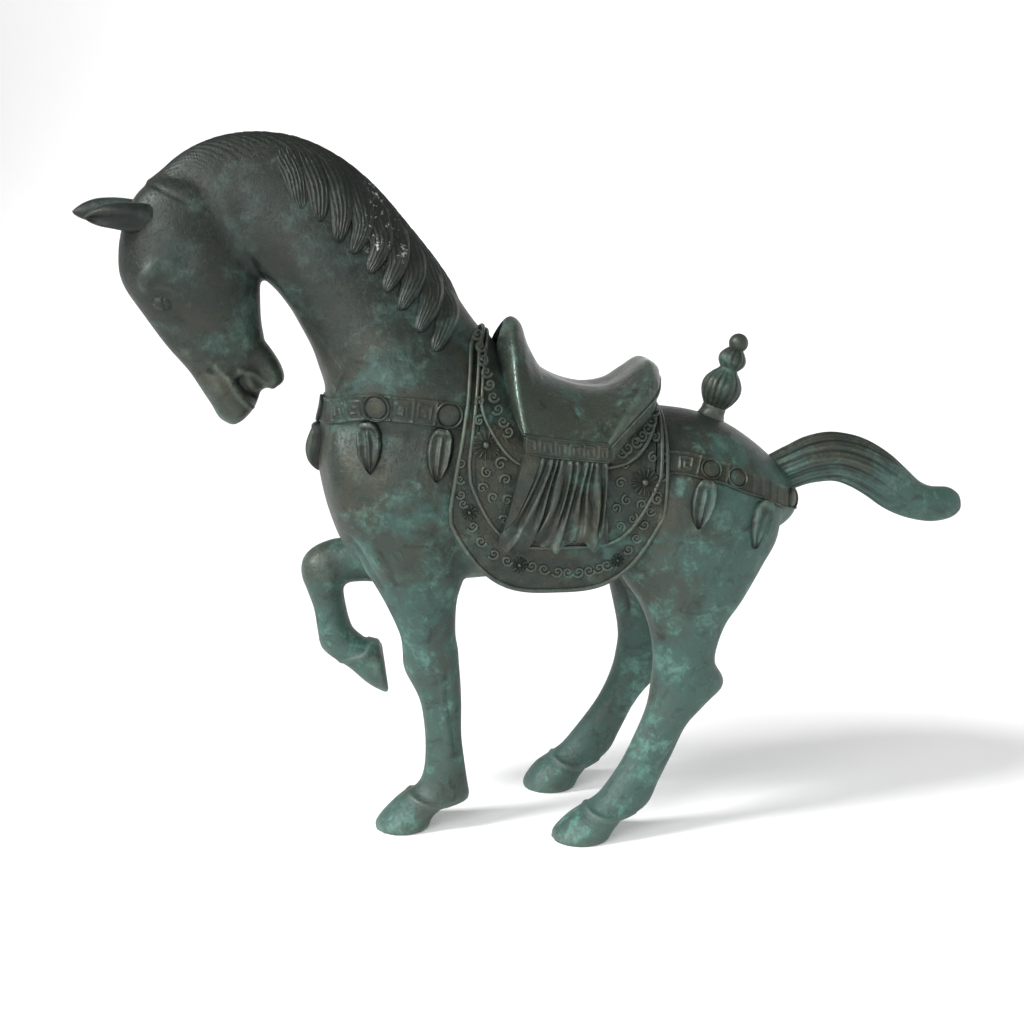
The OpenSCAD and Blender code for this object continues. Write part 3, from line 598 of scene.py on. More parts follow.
@dataclass
class Castings(Assembly):
    """The horse itself: torso, neck, head and four legs, modelled as one and cut at their seams."""

    voxel: float = 1.5
    anatomy: Anatomy = field(default_factory=Anatomy)
    neck_seam: Seam = Seam((-49, 354), (-142, 303), (-170, -70, 270), (-20, 70, 390))
    head_seam: Seam = Seam((-232, 455), (-178, 370), (-250, -45, 355), (-165, 45, 470))
    leg_seams: dict[str, Seam] = field(default_factory=lambda: {
        "left_foreleg": Seam((-98, 144), (-59, 144), (-125, -60, 125), (-40, 14, 150)),
        "right_foreleg": Seam((-134, 194), (-114, 161), (-150, 8, 148), (-102, 70, 200)),
        "left_hind_leg": Seam((68, 148), (123, 148), (45, -80, 130), (150, 0, 165)),
        "right_hind_leg": Seam((58, 150), (130, 146), (40, 0, 125), (150, 80, 170)),
    })
    ground: "Ground | None" = None

    def fused(self) -> tuple[Array, Array]:
        """All section stacks fused by a voxel remesh, as points in millimetres and quads."""
        a = self.anatomy
        stacks = ((a.barrel, 60, 72), (a.neck, 70, 64), (a.head, 60, 64), (a.chin, 30, 32),
                  (a.left_fore, 90, 48), (a.right_fore, 80, 48), (a.left_hind, 90, 48),
                  (a.right_hind, 90, 48))
        grids = [sections(*stack) for stack in stacks]
        grids[2:4] = [turned(grid) for grid in grids[2:4]]
        obj = Surface.joined([skin(grid) for grid in grids]).piece("fused")
        remesh = obj.modifiers.new("fuse", "REMESH")
        remesh.mode = "VOXEL"
        remesh.voxel_size = self.voxel * MM
        mesh = obj.evaluated_get(bpy.context.evaluated_depsgraph_get()).to_mesh()
        p = np.empty(3 * len(mesh.vertices))
        mesh.vertices.foreach_get("co", p)
        quads = np.empty(len(mesh.loops), np.int32)
        mesh.loops.foreach_get("vertex_index", quads)
        quads = quads.reshape(-1, 4)
        bpy.data.objects.remove(obj)
        return p.reshape(-1, 3) / MM, quads

    def modelled(self) -> tuple[Array, Array, Array]:
        """Points, quads and tones of the horse after filleting and modelling.

        Hollows between the fused stacks are found as points that lie below the mean of their
        neighbours, and only they are relaxed far, so that masses keep their fullness.
        """
        p, quads = self.fused()
        net = Relaxer(quads, len(p))
        p = net.relax(p, 12, back=0.51)
        normals = point_normals(p, quads)
        sink = ((net.mean(p) - p) * normals).sum(1)
        sink = net.relax(sink, 6)
        crease = net.relax(np.clip(sink * 14, 0, 1), 8) * blend(24, 60, p[:, 2])
        p = net.relax(p, 60, crease)
        normals = net.relax(point_normals(p, quads), 4)
        p = p + normals * sum(swell.height(p) for swell in SWELLS)[:, None]
        normals = point_normals(p, quads)
        p = p + normals * sum(stroke.height(p, normals) for stroke in STROKES)[:, None]
        p = net.relax(p, 1, back=0.51)
        p[:, 2] = np.maximum(p[:, 2], 0)
        self.ground = Ground(p, normals)
        broad = net.relax(p, 14)
        proud = ((p - broad) * normals).sum(1)
        tone = np.clip(0.5 + 0.9 * net.relax(proud, 2), 0, 1)
        return p, quads, tone

    def pieces(self) -> dict[str, bpy.types.Object]:
        """One closed object per casting, cut from the modelled horse along its seams."""
        p, quads, tone = self.modelled()
        bm = bmesh.new()
        whole = Surface(p, quads, tone=tone).mesh("horse")
        bm.from_mesh(whole)
        bpy.data.meshes.remove(whole)
        seams = {"head": self.head_seam, "neck": self.neck_seam, **self.leg_seams}
        for seam in seams.values():
            self.cut(bm, seam)
        label = self.labels(bm, seams)
        names = ["torso", *seams]
        made = {}
        for index, name in enumerate(names):
            part = bm.copy()
            part.faces.ensure_lookup_table()
            drop = [face for face, tag in zip(part.faces, label) if tag != index]
            bmesh.ops.delete(part, geom=drop, context="FACES")
            rims = [edge for edge in part.edges if edge.is_boundary]
            for edge in rims:
                edge.smooth = False
            cap = bmesh.ops.holes_fill(part, edges=rims, sides=0)["faces"]
            bmesh.ops.triangulate(part, faces=cap)
            mesh = bpy.data.meshes.new(name)
            part.to_mesh(mesh)
            part.free()
            made[name] = placed(name + "_casting", mesh)
        bm.free()
        return made

    def cut(self, bm: bmesh.types.BMesh, seam: Seam) -> None:
        """Adds a loop of edges where a seam's plane crosses the faces inside its box."""
        low, high = Vector(seam.low) * MM, Vector(seam.high) * MM
        inside = [f for f in bm.faces
                  if all(a < c < b for a, c, b in zip(low, f.calc_center_median(), high))]
        edges, verts = {e for f in inside for e in f.edges}, {v for f in inside for v in f.verts}
        middle, normal = self.plane(seam)
        bmesh.ops.bisect_plane(bm, geom=[*inside, *edges, *verts], dist=1e-7,
                               plane_co=Vector(middle) * MM, plane_no=Vector(normal))

    @staticmethod
    def plane(seam: Seam) -> tuple[Array, Array]:
        """A seam's middle and its unit normal, which points to the side away from the torso."""
        front, back = np.array(seam.front), np.array(seam.back)
        d = unit(back - front)
        middle = (front + back) / 2
        return np.array([middle[0], 0, middle[1]]), np.array([d[1], 0, -d[0]])

    def labels(self, bm: bmesh.types.BMesh, seams: dict[str, Seam]) -> Array:
        """Casting that each face belongs to: faces spread from each seam's far side.

        A face starts a casting when it lies in the seam's box on the far side of its plane. The
        casting then grows over shared edges, and never back over the plane inside the box.
        """
        bm.faces.ensure_lookup_table()
        bm.faces.index_update()
        centre = np.array([f.calc_center_median() for f in bm.faces]) / MM
        label = np.zeros(len(centre), int)
        pairs = np.array([[f.index for f in e.link_faces]
                          for e in bm.edges if len(e.link_faces) == 2])
        blocked = np.zeros(len(pairs), bool)
        seeds = []
        for seam in seams.values():
            middle, normal = self.plane(seam)
            beyond = (centre - middle) @ normal > 0
            boxed = ((centre > np.array(seam.low)) & (centre < np.array(seam.high))).all(1)
            blocked |= boxed[pairs].all(1) & (beyond[pairs[:, 0]] != beyond[pairs[:, 1]])
            seeds.append(boxed & beyond & (np.abs((centre - middle) @ normal) < 4))
        a, b = pairs[~blocked].T
        for index, seed in enumerate(seeds, 1):
            grown = seed & (label == 0)
            while True:
                more = grown.copy()
                more[a[grown[b]]] = True
                more[b[grown[a]]] = True
                more &= label == 0
                if more.sum() == grown.sum():
                    break
                grown = more
            label[grown] = index
        return label


# ------------------------------------------------------------------ laying things on the castings


ACROSS = np.array([0.0, 1.0, 0.0])
HEAD_TURN = math.radians(6)
POLL = (-215.0, 0.0)


def turned(p: Array) -> Array:
    """Points of the head swung about the upright line through the poll, nose to the near side."""
    x, y = p[..., 0] - POLL[0], p[..., 1] - POLL[1]
    c, s = math.cos(HEAD_TURN), math.sin(HEAD_TURN)
    return np.stack([POLL[0] + c * x - s * y, POLL[1] + s * x + c * y, p[..., 2]], -1)


def net(rows: Sequence[Sequence[Sequence[float]]], count: int, across: int) -> Array:
    """Smooth surface through a net of points: the spline along the columns, then along the rows."""
    base = np.asarray(rows, float)
    stations, width, size = base.shape
    long = spline(base.reshape(stations, -1), count).reshape(count, width, size)
    wide = spline(long.transpose(1, 0, 2).reshape(width, -1), across)
    return wide.reshape(across, count, size).transpose(1, 0, 2)


def tube(path: Array, radius: Array | float, sides: int, up: Array = ACROSS,
         squash: float = 1.0) -> Surface:
    """Closed tube along a path: a ring about each point, square to the path.

    Args:
        path: Points of shape (n, 3).
        radius: Radius at every point, or one for all.
        sides: Points of a ring.
        up: Direction that the ring is squashed along, one for each point or one for all.
        squash: Height of the ring over its width.

    Returns:
        The closed surface.
    """
    t = unit(np.gradient(path, axis=0))
    side = unit(np.cross(t, np.broadcast_to(up, path.shape)))
    up = np.cross(side, t)
    a = around(sides)[..., None]
    r = np.broadcast_to(np.asarray(radius, float), (len(path),))[:, None, None]
    rings = path[:, None] + r * (np.cos(a) * side[:, None] + squash * np.sin(a) * up[:, None])
    tone = np.broadcast_to(0.55 + 0.4 * np.sin(a[..., 0]), rings.shape[:2])
    return skin(rings, tone)


@dataclass
class Ground:
    """Skin of the castings, for things that lie on it."""

    points: Array
    normals: Array

    def weigh(self, gap: Array, reach: float, picked: Array) -> tuple[Array, Array]:
        """Mean point and mean normal about each query, weighed by a bell curve of the gap."""
        weight = np.exp(-gap / reach**2) + 1e-12
        weight /= weight.sum(1, keepdims=True)
        return weight @ self.points[picked], unit(weight @ self.normals[picked])

    def beside(self, x: Array, z: Array, reach: float = 3.0) -> tuple[Array, Array]:
        """Points and normals of the near side at places of the side view.

        Args:
            x: Places along the horse.
            z: Heights, of the same shape.
            reach: Width of the bell curve.

        Returns:
            Points and normals, of shape x.shape + (3,).
        """
        flat = np.stack([np.ravel(x), np.ravel(z)], -1)
        low, high = flat.min(0) - 12, flat.max(0) + 12
        view = self.points[:, [0, 2]]
        facing = (self.normals[:, 1] < -0.15) & (self.points[:, 1] < 6)
        picked = np.flatnonzero(((view > low) & (view < high)).all(1) & facing)
        points, normals = self.chunks(flat, view[picked], reach, picked)
        points[:, 0], points[:, 2] = flat[:, 0], flat[:, 1]
        return points.reshape(*np.shape(x), 3), normals.reshape(*np.shape(x), 3)

    def settle(self, p: Array, reach: float = 4.0) -> tuple[Array, Array]:
        """Points moved along the skin's normal until they lie on it.

        Args:
            p: Points near the skin, of any shape that ends in 3.
            reach: Width of the bell curve.

        Returns:
            Points on the skin and the normals there.
        """
        flat = p.reshape(-1, 3)
        low, high = flat.min(0) - 14, flat.max(0) + 14
        picked = np.flatnonzero(((self.points > low) & (self.points < high)).all(1))
        mean, normals = self.chunks(flat, self.points[picked], reach, picked)
        moved = flat + normals * ((mean - flat) * normals).sum(1)[:, None]
        return moved.reshape(p.shape), normals.reshape(p.shape)

    def chunks(self, flat: Array, cloud: Array, reach: float, picked: Array) -> tuple[Array, Array]:
        """The weighed means, a thousand queries at a time."""
        found = []
        for start in range(0, len(flat), 1000):
            part = flat[start:start + 1000]
            gap = (part**2).sum(1)[:, None] + (cloud**2).sum(1)[None] - 2 * part @ cloud.T
            gap -= gap.min(1, keepdims=True)
            found.append(self.weigh(gap, reach, picked))
        return np.concatenate([f[0] for f in found]), np.concatenate([f[1] for f in found])


def both_sides(part: Surface) -> list[Surface]:
    """A surface and its mirror image."""
    return [part, part.mirrored()]


def raised(base: Array, normals: Array, height: Array, sink: float, tone: Array | None) -> Surface:
    """Closed relief: the base lifted by a height along its normals, over a copy sunk below it."""
    return slab(base + normals * height[..., None], base - normals * sink, tone)


# ------------------------------------------------------------------ ears, eyes, tail and mane


@dataclass
class Ears(Assembly):
    """Pair of pointed ears laid forward, each scooped on its outer side."""

    rows: Rows = Anatomy.ear
    scoop: float = 4.5
    opening: float = math.radians(112)
    far_shift: tuple[float, float, float] = (-8.0, 0.0, 2.5)

    def surface(self, hand: int) -> Surface:
        """One ear: oval sections pushed in along the outer side by a bell curve.

        Args:
            hand: 1 for the near ear, -1 for the far one.

        Returns:
            The closed ear.
        """
        rings, sides = 60, 48
        grid = sections(self.rows, rings, sides)
        t, a = down(rings), around(sides)
        off = np.abs((a - self.opening + math.pi) % (2 * math.pi) - math.pi)
        depth = self.scoop * gauss(off, 0.62) * blend(0.12, 0.35, t) * (1 - blend(0.72, 1.0, t))
        grid = (grid + depth[..., None] * np.array([0.0, 1.0, 0.25])) * (1, hand, 1)
        if hand < 0:
            grid = grid + np.array(self.far_shift) * blend(0.0, 0.35, t)[..., None]
        return skin(turned(grid), np.clip(0.55 - depth / 8, 0, 1))

    def pieces(self) -> dict[str, bpy.types.Object]:
        """Near and far ear."""
        return {f"{side}_ear": self.surface(hand).piece(f"{side}_ear_casting")
                for side, hand in (("left", 1), ("right", -1))}


@dataclass
class Eyes(Assembly):
    """Bulging eyes: flattened balls with a lid line."""

    centre: tuple[float, float, float] = (-243.5, -17.5, 362)
    size: tuple[float, float, float] = (7.4, 4.4, 5.6)

    def surface(self, side: int) -> Surface:
        """Ball of rings with its pole on the outside, and a groove at the lid's edge.

        Args:
            side: -1 for the near eye, 1 for the far one.

        Returns:
            The closed ball.
        """
        theta, phi = down(40, 0.04, math.pi - 0.04), around(48)
        x = np.sin(theta) * np.cos(phi)
        z = np.sin(theta) * np.sin(phi)
        y = -np.cos(theta) * np.ones_like(phi)
        lid = gauss(x + 0.15 - 0.25 * z**2, 0.10) * (y < 0)
        ball = np.stack([x, y, z], -1) * (1 - 0.10 * lid)[..., None]
        grid = (ball * np.array(self.size) + np.array(self.centre)) * (1, -side, 1)
        return skin(turned(grid), np.clip(0.55 - 0.6 * lid, 0, 1))

    def pieces(self) -> dict[str, bpy.types.Object]:
        """Near and far eye."""
        return {f"{name}_eye": self.surface(side).piece(f"{name}_eye_ball")
                for name, side in (("left", -1), ("right", 1))}


@dataclass
class Tail(Assembly):
    """Lifted tail with combed strands over its first half."""

    rows: Rows = Anatomy.tail
    strands: int = 12
    depth: float = 1.0

    def pieces(self) -> dict[str, bpy.types.Object]:
        """Oval sections with cosine grooves that fade towards the tip."""
        rings, sides = 220, 144
        grid = sections(self.rows, rings, sides)
        t, a = down(rings), around(sides)
        broad = np.cos(self.strands * a + 1.2 * np.sin(2 * a) + 1.5 * t)
        wave = broad * 0.65 + 0.35 * np.cos(31 * a + 2 * np.sin(3 * a))
        fade = blend(0.03, 0.12, t) * (1 - blend(0.42, 0.68, t))
        height = self.depth * wave * fade
        normals = grid_normals(grid)
        centre = grid.mean(1, keepdims=True)
        normals *= np.sign(((grid - centre) * normals).sum(-1, keepdims=True))
        tone = np.clip(0.5 + 0.35 * wave * fade, 0, 1)
        return {"tail": skin(grid + normals * height[..., None], tone).piece("tail_casting")}


@dataclass
class Mane(Assembly):
    """Mane combed to both sides: a band along the crest, and locks that overlap like tiles."""

    ground: Ground
    locks: tuple[tuple[tuple[float, float], ...], ...] = (
        ((-169, 467), (-163, 452), (-157, 437), (-154, 419)),
        ((-155, 462), (-149, 446), (-143, 429), (-143, 411)),
        ((-140, 453), (-133, 437), (-129, 418), (-132, 398)),
        ((-126, 443), (-119, 427), (-116, 409), (-123, 391)),
        ((-112, 431), (-107, 413), (-105, 396), (-113, 379)),
        ((-99, 417), (-95, 401), (-95, 385), (-103, 367)),
        ((-87, 401), (-84, 386), (-86, 372), (-94, 356)),
        ((-76, 384), (-73, 371), (-75, 358), (-83, 342)),
        ((-66, 368), (-63, 357), (-65, 345), (-73, 330)),
    )
    half: float = 9.2
    rise: float = 4.0
    ridge: tuple[tuple[float, float], ...] = (
        (-243, 441), (-226, 458), (-205, 466.5), (-180, 468), (-150, 462),
        (-122, 446), (-97, 423), (-76, 395), (-60, 372), (-50, 357),
    )

    def lock(self, index: int) -> Surface:
        """One lock: half-width and height shrink to the tip, with cosine ridges for strands.

        The lock leans on the one before it, so its height grows towards its rear edge.
        """
        count = 56
        line = spline(self.locks[index], count)
        t, s = down(count), across(27, -1)
        step = unit(np.gradient(line, axis=0))
        side = np.stack([-step[:, 1], step[:, 0]], -1)
        side *= np.sign(side[:, :1] + 1e-9)
        bold = blend(-1.5, 3.5, np.float64(index))
        half = self.half * (0.86 + 0.30 * t * (1 - t)) * np.clip(1 - t**4.0, 0, 1) ** 0.62 + 0.12
        flat = line[:, None] + (s * half)[..., None] * side[:, None]
        base, normals = self.ground.beside(flat[..., 0], flat[..., 1])
        base, normals = self.ground.settle(base, 3.0)
        dome = np.clip(1 - np.abs(s) ** 2.4, 0, 1) ** 0.6
        lean = 1.0 + 0.35 * s
        fade = (0.15 + 0.85 * blend(0.05, 0.70, t)) * np.sqrt(np.clip(1 - t**8, 0, 1))
        comb = s * (1 + 0.15 * np.sin(4 * t + 1.7 * index)) + 0.06 * np.sin(9 * t + index)
        strands = 0.7 * np.cos(6.5 * math.pi * comb) + 0.3 * np.cos(13.5 * math.pi * comb + index)
        strands = strands * (1 - s**4)
        height = (0.15 + 0.85 * bold) * self.rise * dome * lean * fade
        height = height + 0.34 * strands * (0.5 + 0.5 * fade)
        tone = np.clip(0.46 + 0.17 * strands - 0.30 * (1 - dome), 0, 1)
        return raised(base, normals, height - 0.3, 1.0, tone)

    def crest(self) -> Surface:
        """Combed band over the neck: an oval arch, wide at the poll and narrow at the withers.

        Strands start at the crest and sweep back on the way down, so their phase is the distance
        along the crest less a share of the distance down.
        """
        count = 320
        line = spline(self.ridge, count)
        t, s = down(count), across(51, -1)
        step = unit(np.gradient(line, axis=0))
        out = np.stack([-step[:, 1], step[:, 0]], -1)
        narrow = blend(0.12, 0.55, t)
        arch = s * np.radians(66 - 42 * narrow)
        y = (15 + 7 * blend(0, 0.15, t) + 11 * narrow) * np.sin(arch)
        drop = (20 + 26 * blend(0, 0.2, t)) * (1 - np.cos(arch)) - 1.0
        p = np.stack([line[:, :1] - out[:, :1] * drop, y, line[:, 1:] - out[:, 1:] * drop], -1)
        on, normals = self.ground.settle(p)
        swept = t - (0.22 - 0.10 * narrow) * np.abs(s) + 0.004 * np.sin(40 * t + 9 * s)
        comb = 0.6 * np.cos(2 * math.pi * 34 * swept)
        comb = comb + 0.4 * np.cos(2 * math.pi * 83 * swept + 3 * s)
        ends = blend(0, 0.05, t) * (1 - blend(0.88, 1.0, t))
        edge = np.sqrt(np.clip(1 - s**2, 0, 1)) * ends
        height = (0.5 + 0.9 * narrow) * edge + 0.30 * comb * edge * (1 - s**8) - 0.35 * (1 - edge)
        return raised(on, normals, height, 1.0, np.clip(0.46 + 0.16 * comb * edge, 0, 1))

    def pieces(self) -> dict[str, bpy.types.Object]:
        """All locks on both sides, and the crest, as one piece."""
        parts = [self.crest()]
        for index in range(len(self.locks)):
            parts += both_sides(self.lock(index))
        return {"mane": Surface.joined(parts).piece("mane_locks")}


# ------------------------------------------------------------------ saddlery


BACK = np.array([(-60, 356), (-49, 350), (-33, 335), (-13, 314), (14, 296), (48, 291),
                 (83, 287), (111, 282)], float)
HIP = 240.0
HALF = 61.0


def back_height(x: Array) -> Array:
    """Height of the horse's back over a place along it."""
    return np.interp(x, BACK[:, 0], BACK[:, 1])


def hang(x: Array, z: Array, out: float) -> Array:
    """Near-side Y of the saddlery: an ellipse over the back to hip height, upright below."""
    top = back_height(x) + out - HIP
    lean = np.clip((z - HIP) / top, 0, 1)
    return -(HALF + out) * np.sqrt(np.clip(1 - lean**2, 0, 1))


def hung(flat: Array, out: float) -> tuple[Array, Array]:
    """Points and normals of the saddlery's near side at places (x, z) of the side view."""
    x, z = flat[..., 0], flat[..., 1]
    top = back_height(x) + out - HIP
    y = hang(x, z, out)
    lean = np.clip((z - HIP) / top, 0, 0.999)
    normal = unit(np.stack([np.zeros_like(x), y / (HALF + out) ** 2, lean / top], -1))
    return np.stack([x, y, z], -1), normal


def curl(x: float, z: float, size: float, turn: float, hand: int, out: float) -> Surface:
    """Spiral tendril: a tube along a spiral whose radius shrinks by the 1.3rd power in 1.6 turns.

    Args:
        x: Place of its middle along the horse.
        z: Height of its middle.
        size: Radius at its outer end.
        turn: Angle of its outer end.
        hand: 1 for a spiral one way round, -1 for the other.
        out: How far the cloth it lies on is from the back.

    Returns:
        The closed tube.
    """
    t = np.linspace(0, 1, 34)
    a = turn + hand * 2 * math.pi * 1.6 * t
    r = size * (1 - t) ** 1.3 + 0.25
    path, normal = hung(np.stack([x + r * np.cos(a), z + r * np.sin(a)], -1), out)
    return tube(path + normal * 0.3, 1.15 * (1 - 0.45 * t), 6, normal, 0.9)


def flower(x: float, z: float, radius: float, petals: int, out: float,
           rise: float = 1.8) -> Surface:
    """Rosette: narrow petals and a button, as one height over radius and angle."""
    r, a = down(22, 0.03), around(petals * 8)
    ends = blend(0.26, 0.36, r) * (1 - blend(0.86, 1.0, r))
    petal = np.clip(np.cos(petals * a), 0, 1) ** 0.7 * ends
    height = rise * (petal * (0.55 + 0.45 * r) + 1.1 * np.sqrt(np.clip(1 - (r / 0.24) ** 2, 0, 1)))
    flat = np.stack([x + radius * r * np.cos(a), z + radius * r * np.sin(a)], -1)
    base, normal = hung(flat, out)
    top = base + normal * (height + 0.05)[..., None]
    under = base[-1:] - normal[-1:] * 1.5
    tone = np.concatenate([np.clip(0.28 + 0.35 * height, 0, 1), np.full((1, a.shape[1]), 0.4)])
    return skin(np.concatenate([top, under]), tone)


@dataclass
class Cloth(Assembly):
    """One of the cast saddle cloths: a sheet over the back with a rounded hem and a raised rim.

    A row of edges is a height with the x of the front edge and of the rear edge there.
    """

    name: str
    node: str
    edges: Rows
    hem: float
    corner: float
    out: float
    thick: float
    rim: float
    round: float
    curls: tuple[tuple[float, float, float, float, int], ...] = ()
    flowers: tuple[tuple[float, float, float, int], ...] = ()

    def grid(self, out: float, columns: int = 120, rows: int = 180) -> Array:
        """Sheet points: v runs over the back from hem to hem, u from the front edge to the rear.

        Down to the turn, v goes round the ellipse of the back. Past it, v goes straight down to the
        hem, which rises at the corners by a power of the distance from the middle.
        """
        u, v = across(columns), down(rows, -1)
        e = np.array(self.edges, float)
        x = e[-1, 1] + (e[-1, 2] - e[-1, 1]) * u
        hem = self.hem + self.corner * np.abs(2 * u - 1) ** self.round
        top = back_height(x) + out - HIP
        turn = np.where(hem > HIP, 1.0, 0.6)
        last = np.arccos(np.clip((hem - HIP) / top, 0, 1))
        a = np.clip(np.abs(v) / turn, 0, 1) * last
        below = np.clip((np.abs(v) - turn) / 0.4, 0, 1)
        z = HIP + top * np.cos(a)
        z = z + (hem - z) * below * (hem <= HIP)
        front, rear = (np.interp(z, e[:, 0], e[:, i]) for i in (1, 2))
        return np.stack([front + (rear - front) * u, np.sign(v) * (HALF + out) * np.sin(a), z], -1)

    def pieces(self) -> dict[str, bpy.types.Object]:
        """Sheet, rim, tendrils and flowers, as one piece."""
        face = self.out + self.thick
        outer = self.grid(face)
        sheet = slab(outer, self.grid(self.out), np.full(outer.shape[:2], 0.4))
        half = outer[:outer.shape[0] // 2]
        border = np.concatenate([half[::-1, 0], half[0, :], half[:, -1]])
        border = border[np.linspace(0, len(border) - 1, 230).astype(int)]
        _, normal = hung(border[:, [0, 2]], face)
        parts = [tube(border + normal * 0.2, self.rim, 10, normal)]
        parts += [curl(x, z, size, math.radians(turn), hand, face)
                  for x, z, size, turn, hand in self.curls]
        parts += [flower(*place, face) for place in self.flowers]
        near = Surface.joined(parts)
        return {self.node: Surface.joined([sheet, near, near.mirrored()]).piece(self.name)}


@dataclass
class Seat(Assembly):
    """Saddle seat with a tall pommel, a lower cantle and side flaps, cast in one."""

    stations: tuple = (
        ((-22, 0, 342), (-29, -16, 329), (-29, -27, 317), (-25.5, -44, 299), (-18.5, -64, 279.5)),
        ((-23.5, 0, 346), (-29.5, -16, 333), (-29.5, -29, 318.5), (-26, -46, 299.5), (-19, -65, 279.5)),
        ((-18, 0, 348.5), (-21, -20, 341.5), (-22, -35, 330), (-21.3, -54, 303), (-18, -68, 280)),
        ((-12, 0, 343), (-13.5, -21, 336), (-15, -37, 324), (-14, -56, 299), (-12, -69, 278)),
        ((-8.6, 0, 330), (-8, -20, 327), (-8, -37, 315), (-7, -56, 296), (-6, -70, 276.5)),
        ((-1, 0, 316.5), (0, -19, 315), (1, -37, 307), (2, -56, 293), (3, -70.5, 275)),
        ((14, 0, 307), (14, -18, 307), (13, -38, 301), (12, -56, 290), (12, -71, 273)),
        ((32, 0, 302.5), (32, -18, 303), (30, -38, 299), (25, -57, 288), (20, -71, 272)),
        ((48, 0, 304.5), (48, -20, 305), (46, -40, 300), (35, -58, 288), (27, -70.5, 271.5)),
        ((61, 0, 313.5), (61, -21, 313), (57, -41, 305), (43, -58, 289), (31, -69.5, 271)),
        ((71, 0, 319.5), (70, -20, 318.5), (65, -41, 308), (49, -57, 290), (34, -68.5, 271)),
        ((79, 0, 315), (77, -20, 313), (71, -40, 303), (53, -56, 287), (36, -67, 270.5)),
        ((80.5, 0, 308), (78, -20, 306.5), (71.5, -39, 298), (53.5, -55, 284), (36, -66, 269.5)),
    )
    rim: float = 1.2
    pad: float = 7.0
    skirt: float = 260.0
    middle: float = 26.0

    def pieces(self) -> dict[str, bpy.types.Object]:
        """Spline net through the stations, closed down to the pad, with rolled edges."""
        half = np.array(self.stations, float)
        whole = np.concatenate([half[:, ::-1], half[:, 1:] * (1, -1, 1)], 1)
        top = net(whole, 150, 141)
        foot = top.copy()
        foot[..., 2] = np.minimum(top[..., 2] - 2, np.maximum(self.skirt, self.floor(top)))
        foot[..., 0] = self.middle + (top[..., 0] - self.middle) * 0.95
        w = down(len(top)) + 0 * top[..., 2]
        # Tone raised in bands over the pommel top and the cantle top: rubbed wear, and partly a painted
        # highlight where the seat faces the light.
        rub_and_highlight = gauss(w - 0.17, 0.035) + gauss(w - 0.83, 0.05)
        body = slab(top, foot, 0.48 + 0.40 * rub_and_highlight)
        edges = [tube(top[row], self.rim, 12, (1.0, 0, 0.2)) for row in (0, -1)]
        edges += [tube(top[:, column], self.rim, 12) for column in (0, -1)]
        return {"saddle_seat": Surface.joined([body, *edges]).piece("saddle_seat_casting")}

    def floor(self, p: Array) -> Array:
        """Height of the pad's top under a point: the same ellipse as in hang()."""
        x, y = p[..., 0], p[..., 1]
        reach = np.clip(np.abs(y) / (HALF + self.pad), 0, 1)
        return HIP + (back_height(x) + self.pad - HIP) * np.sqrt(1 - reach**2)


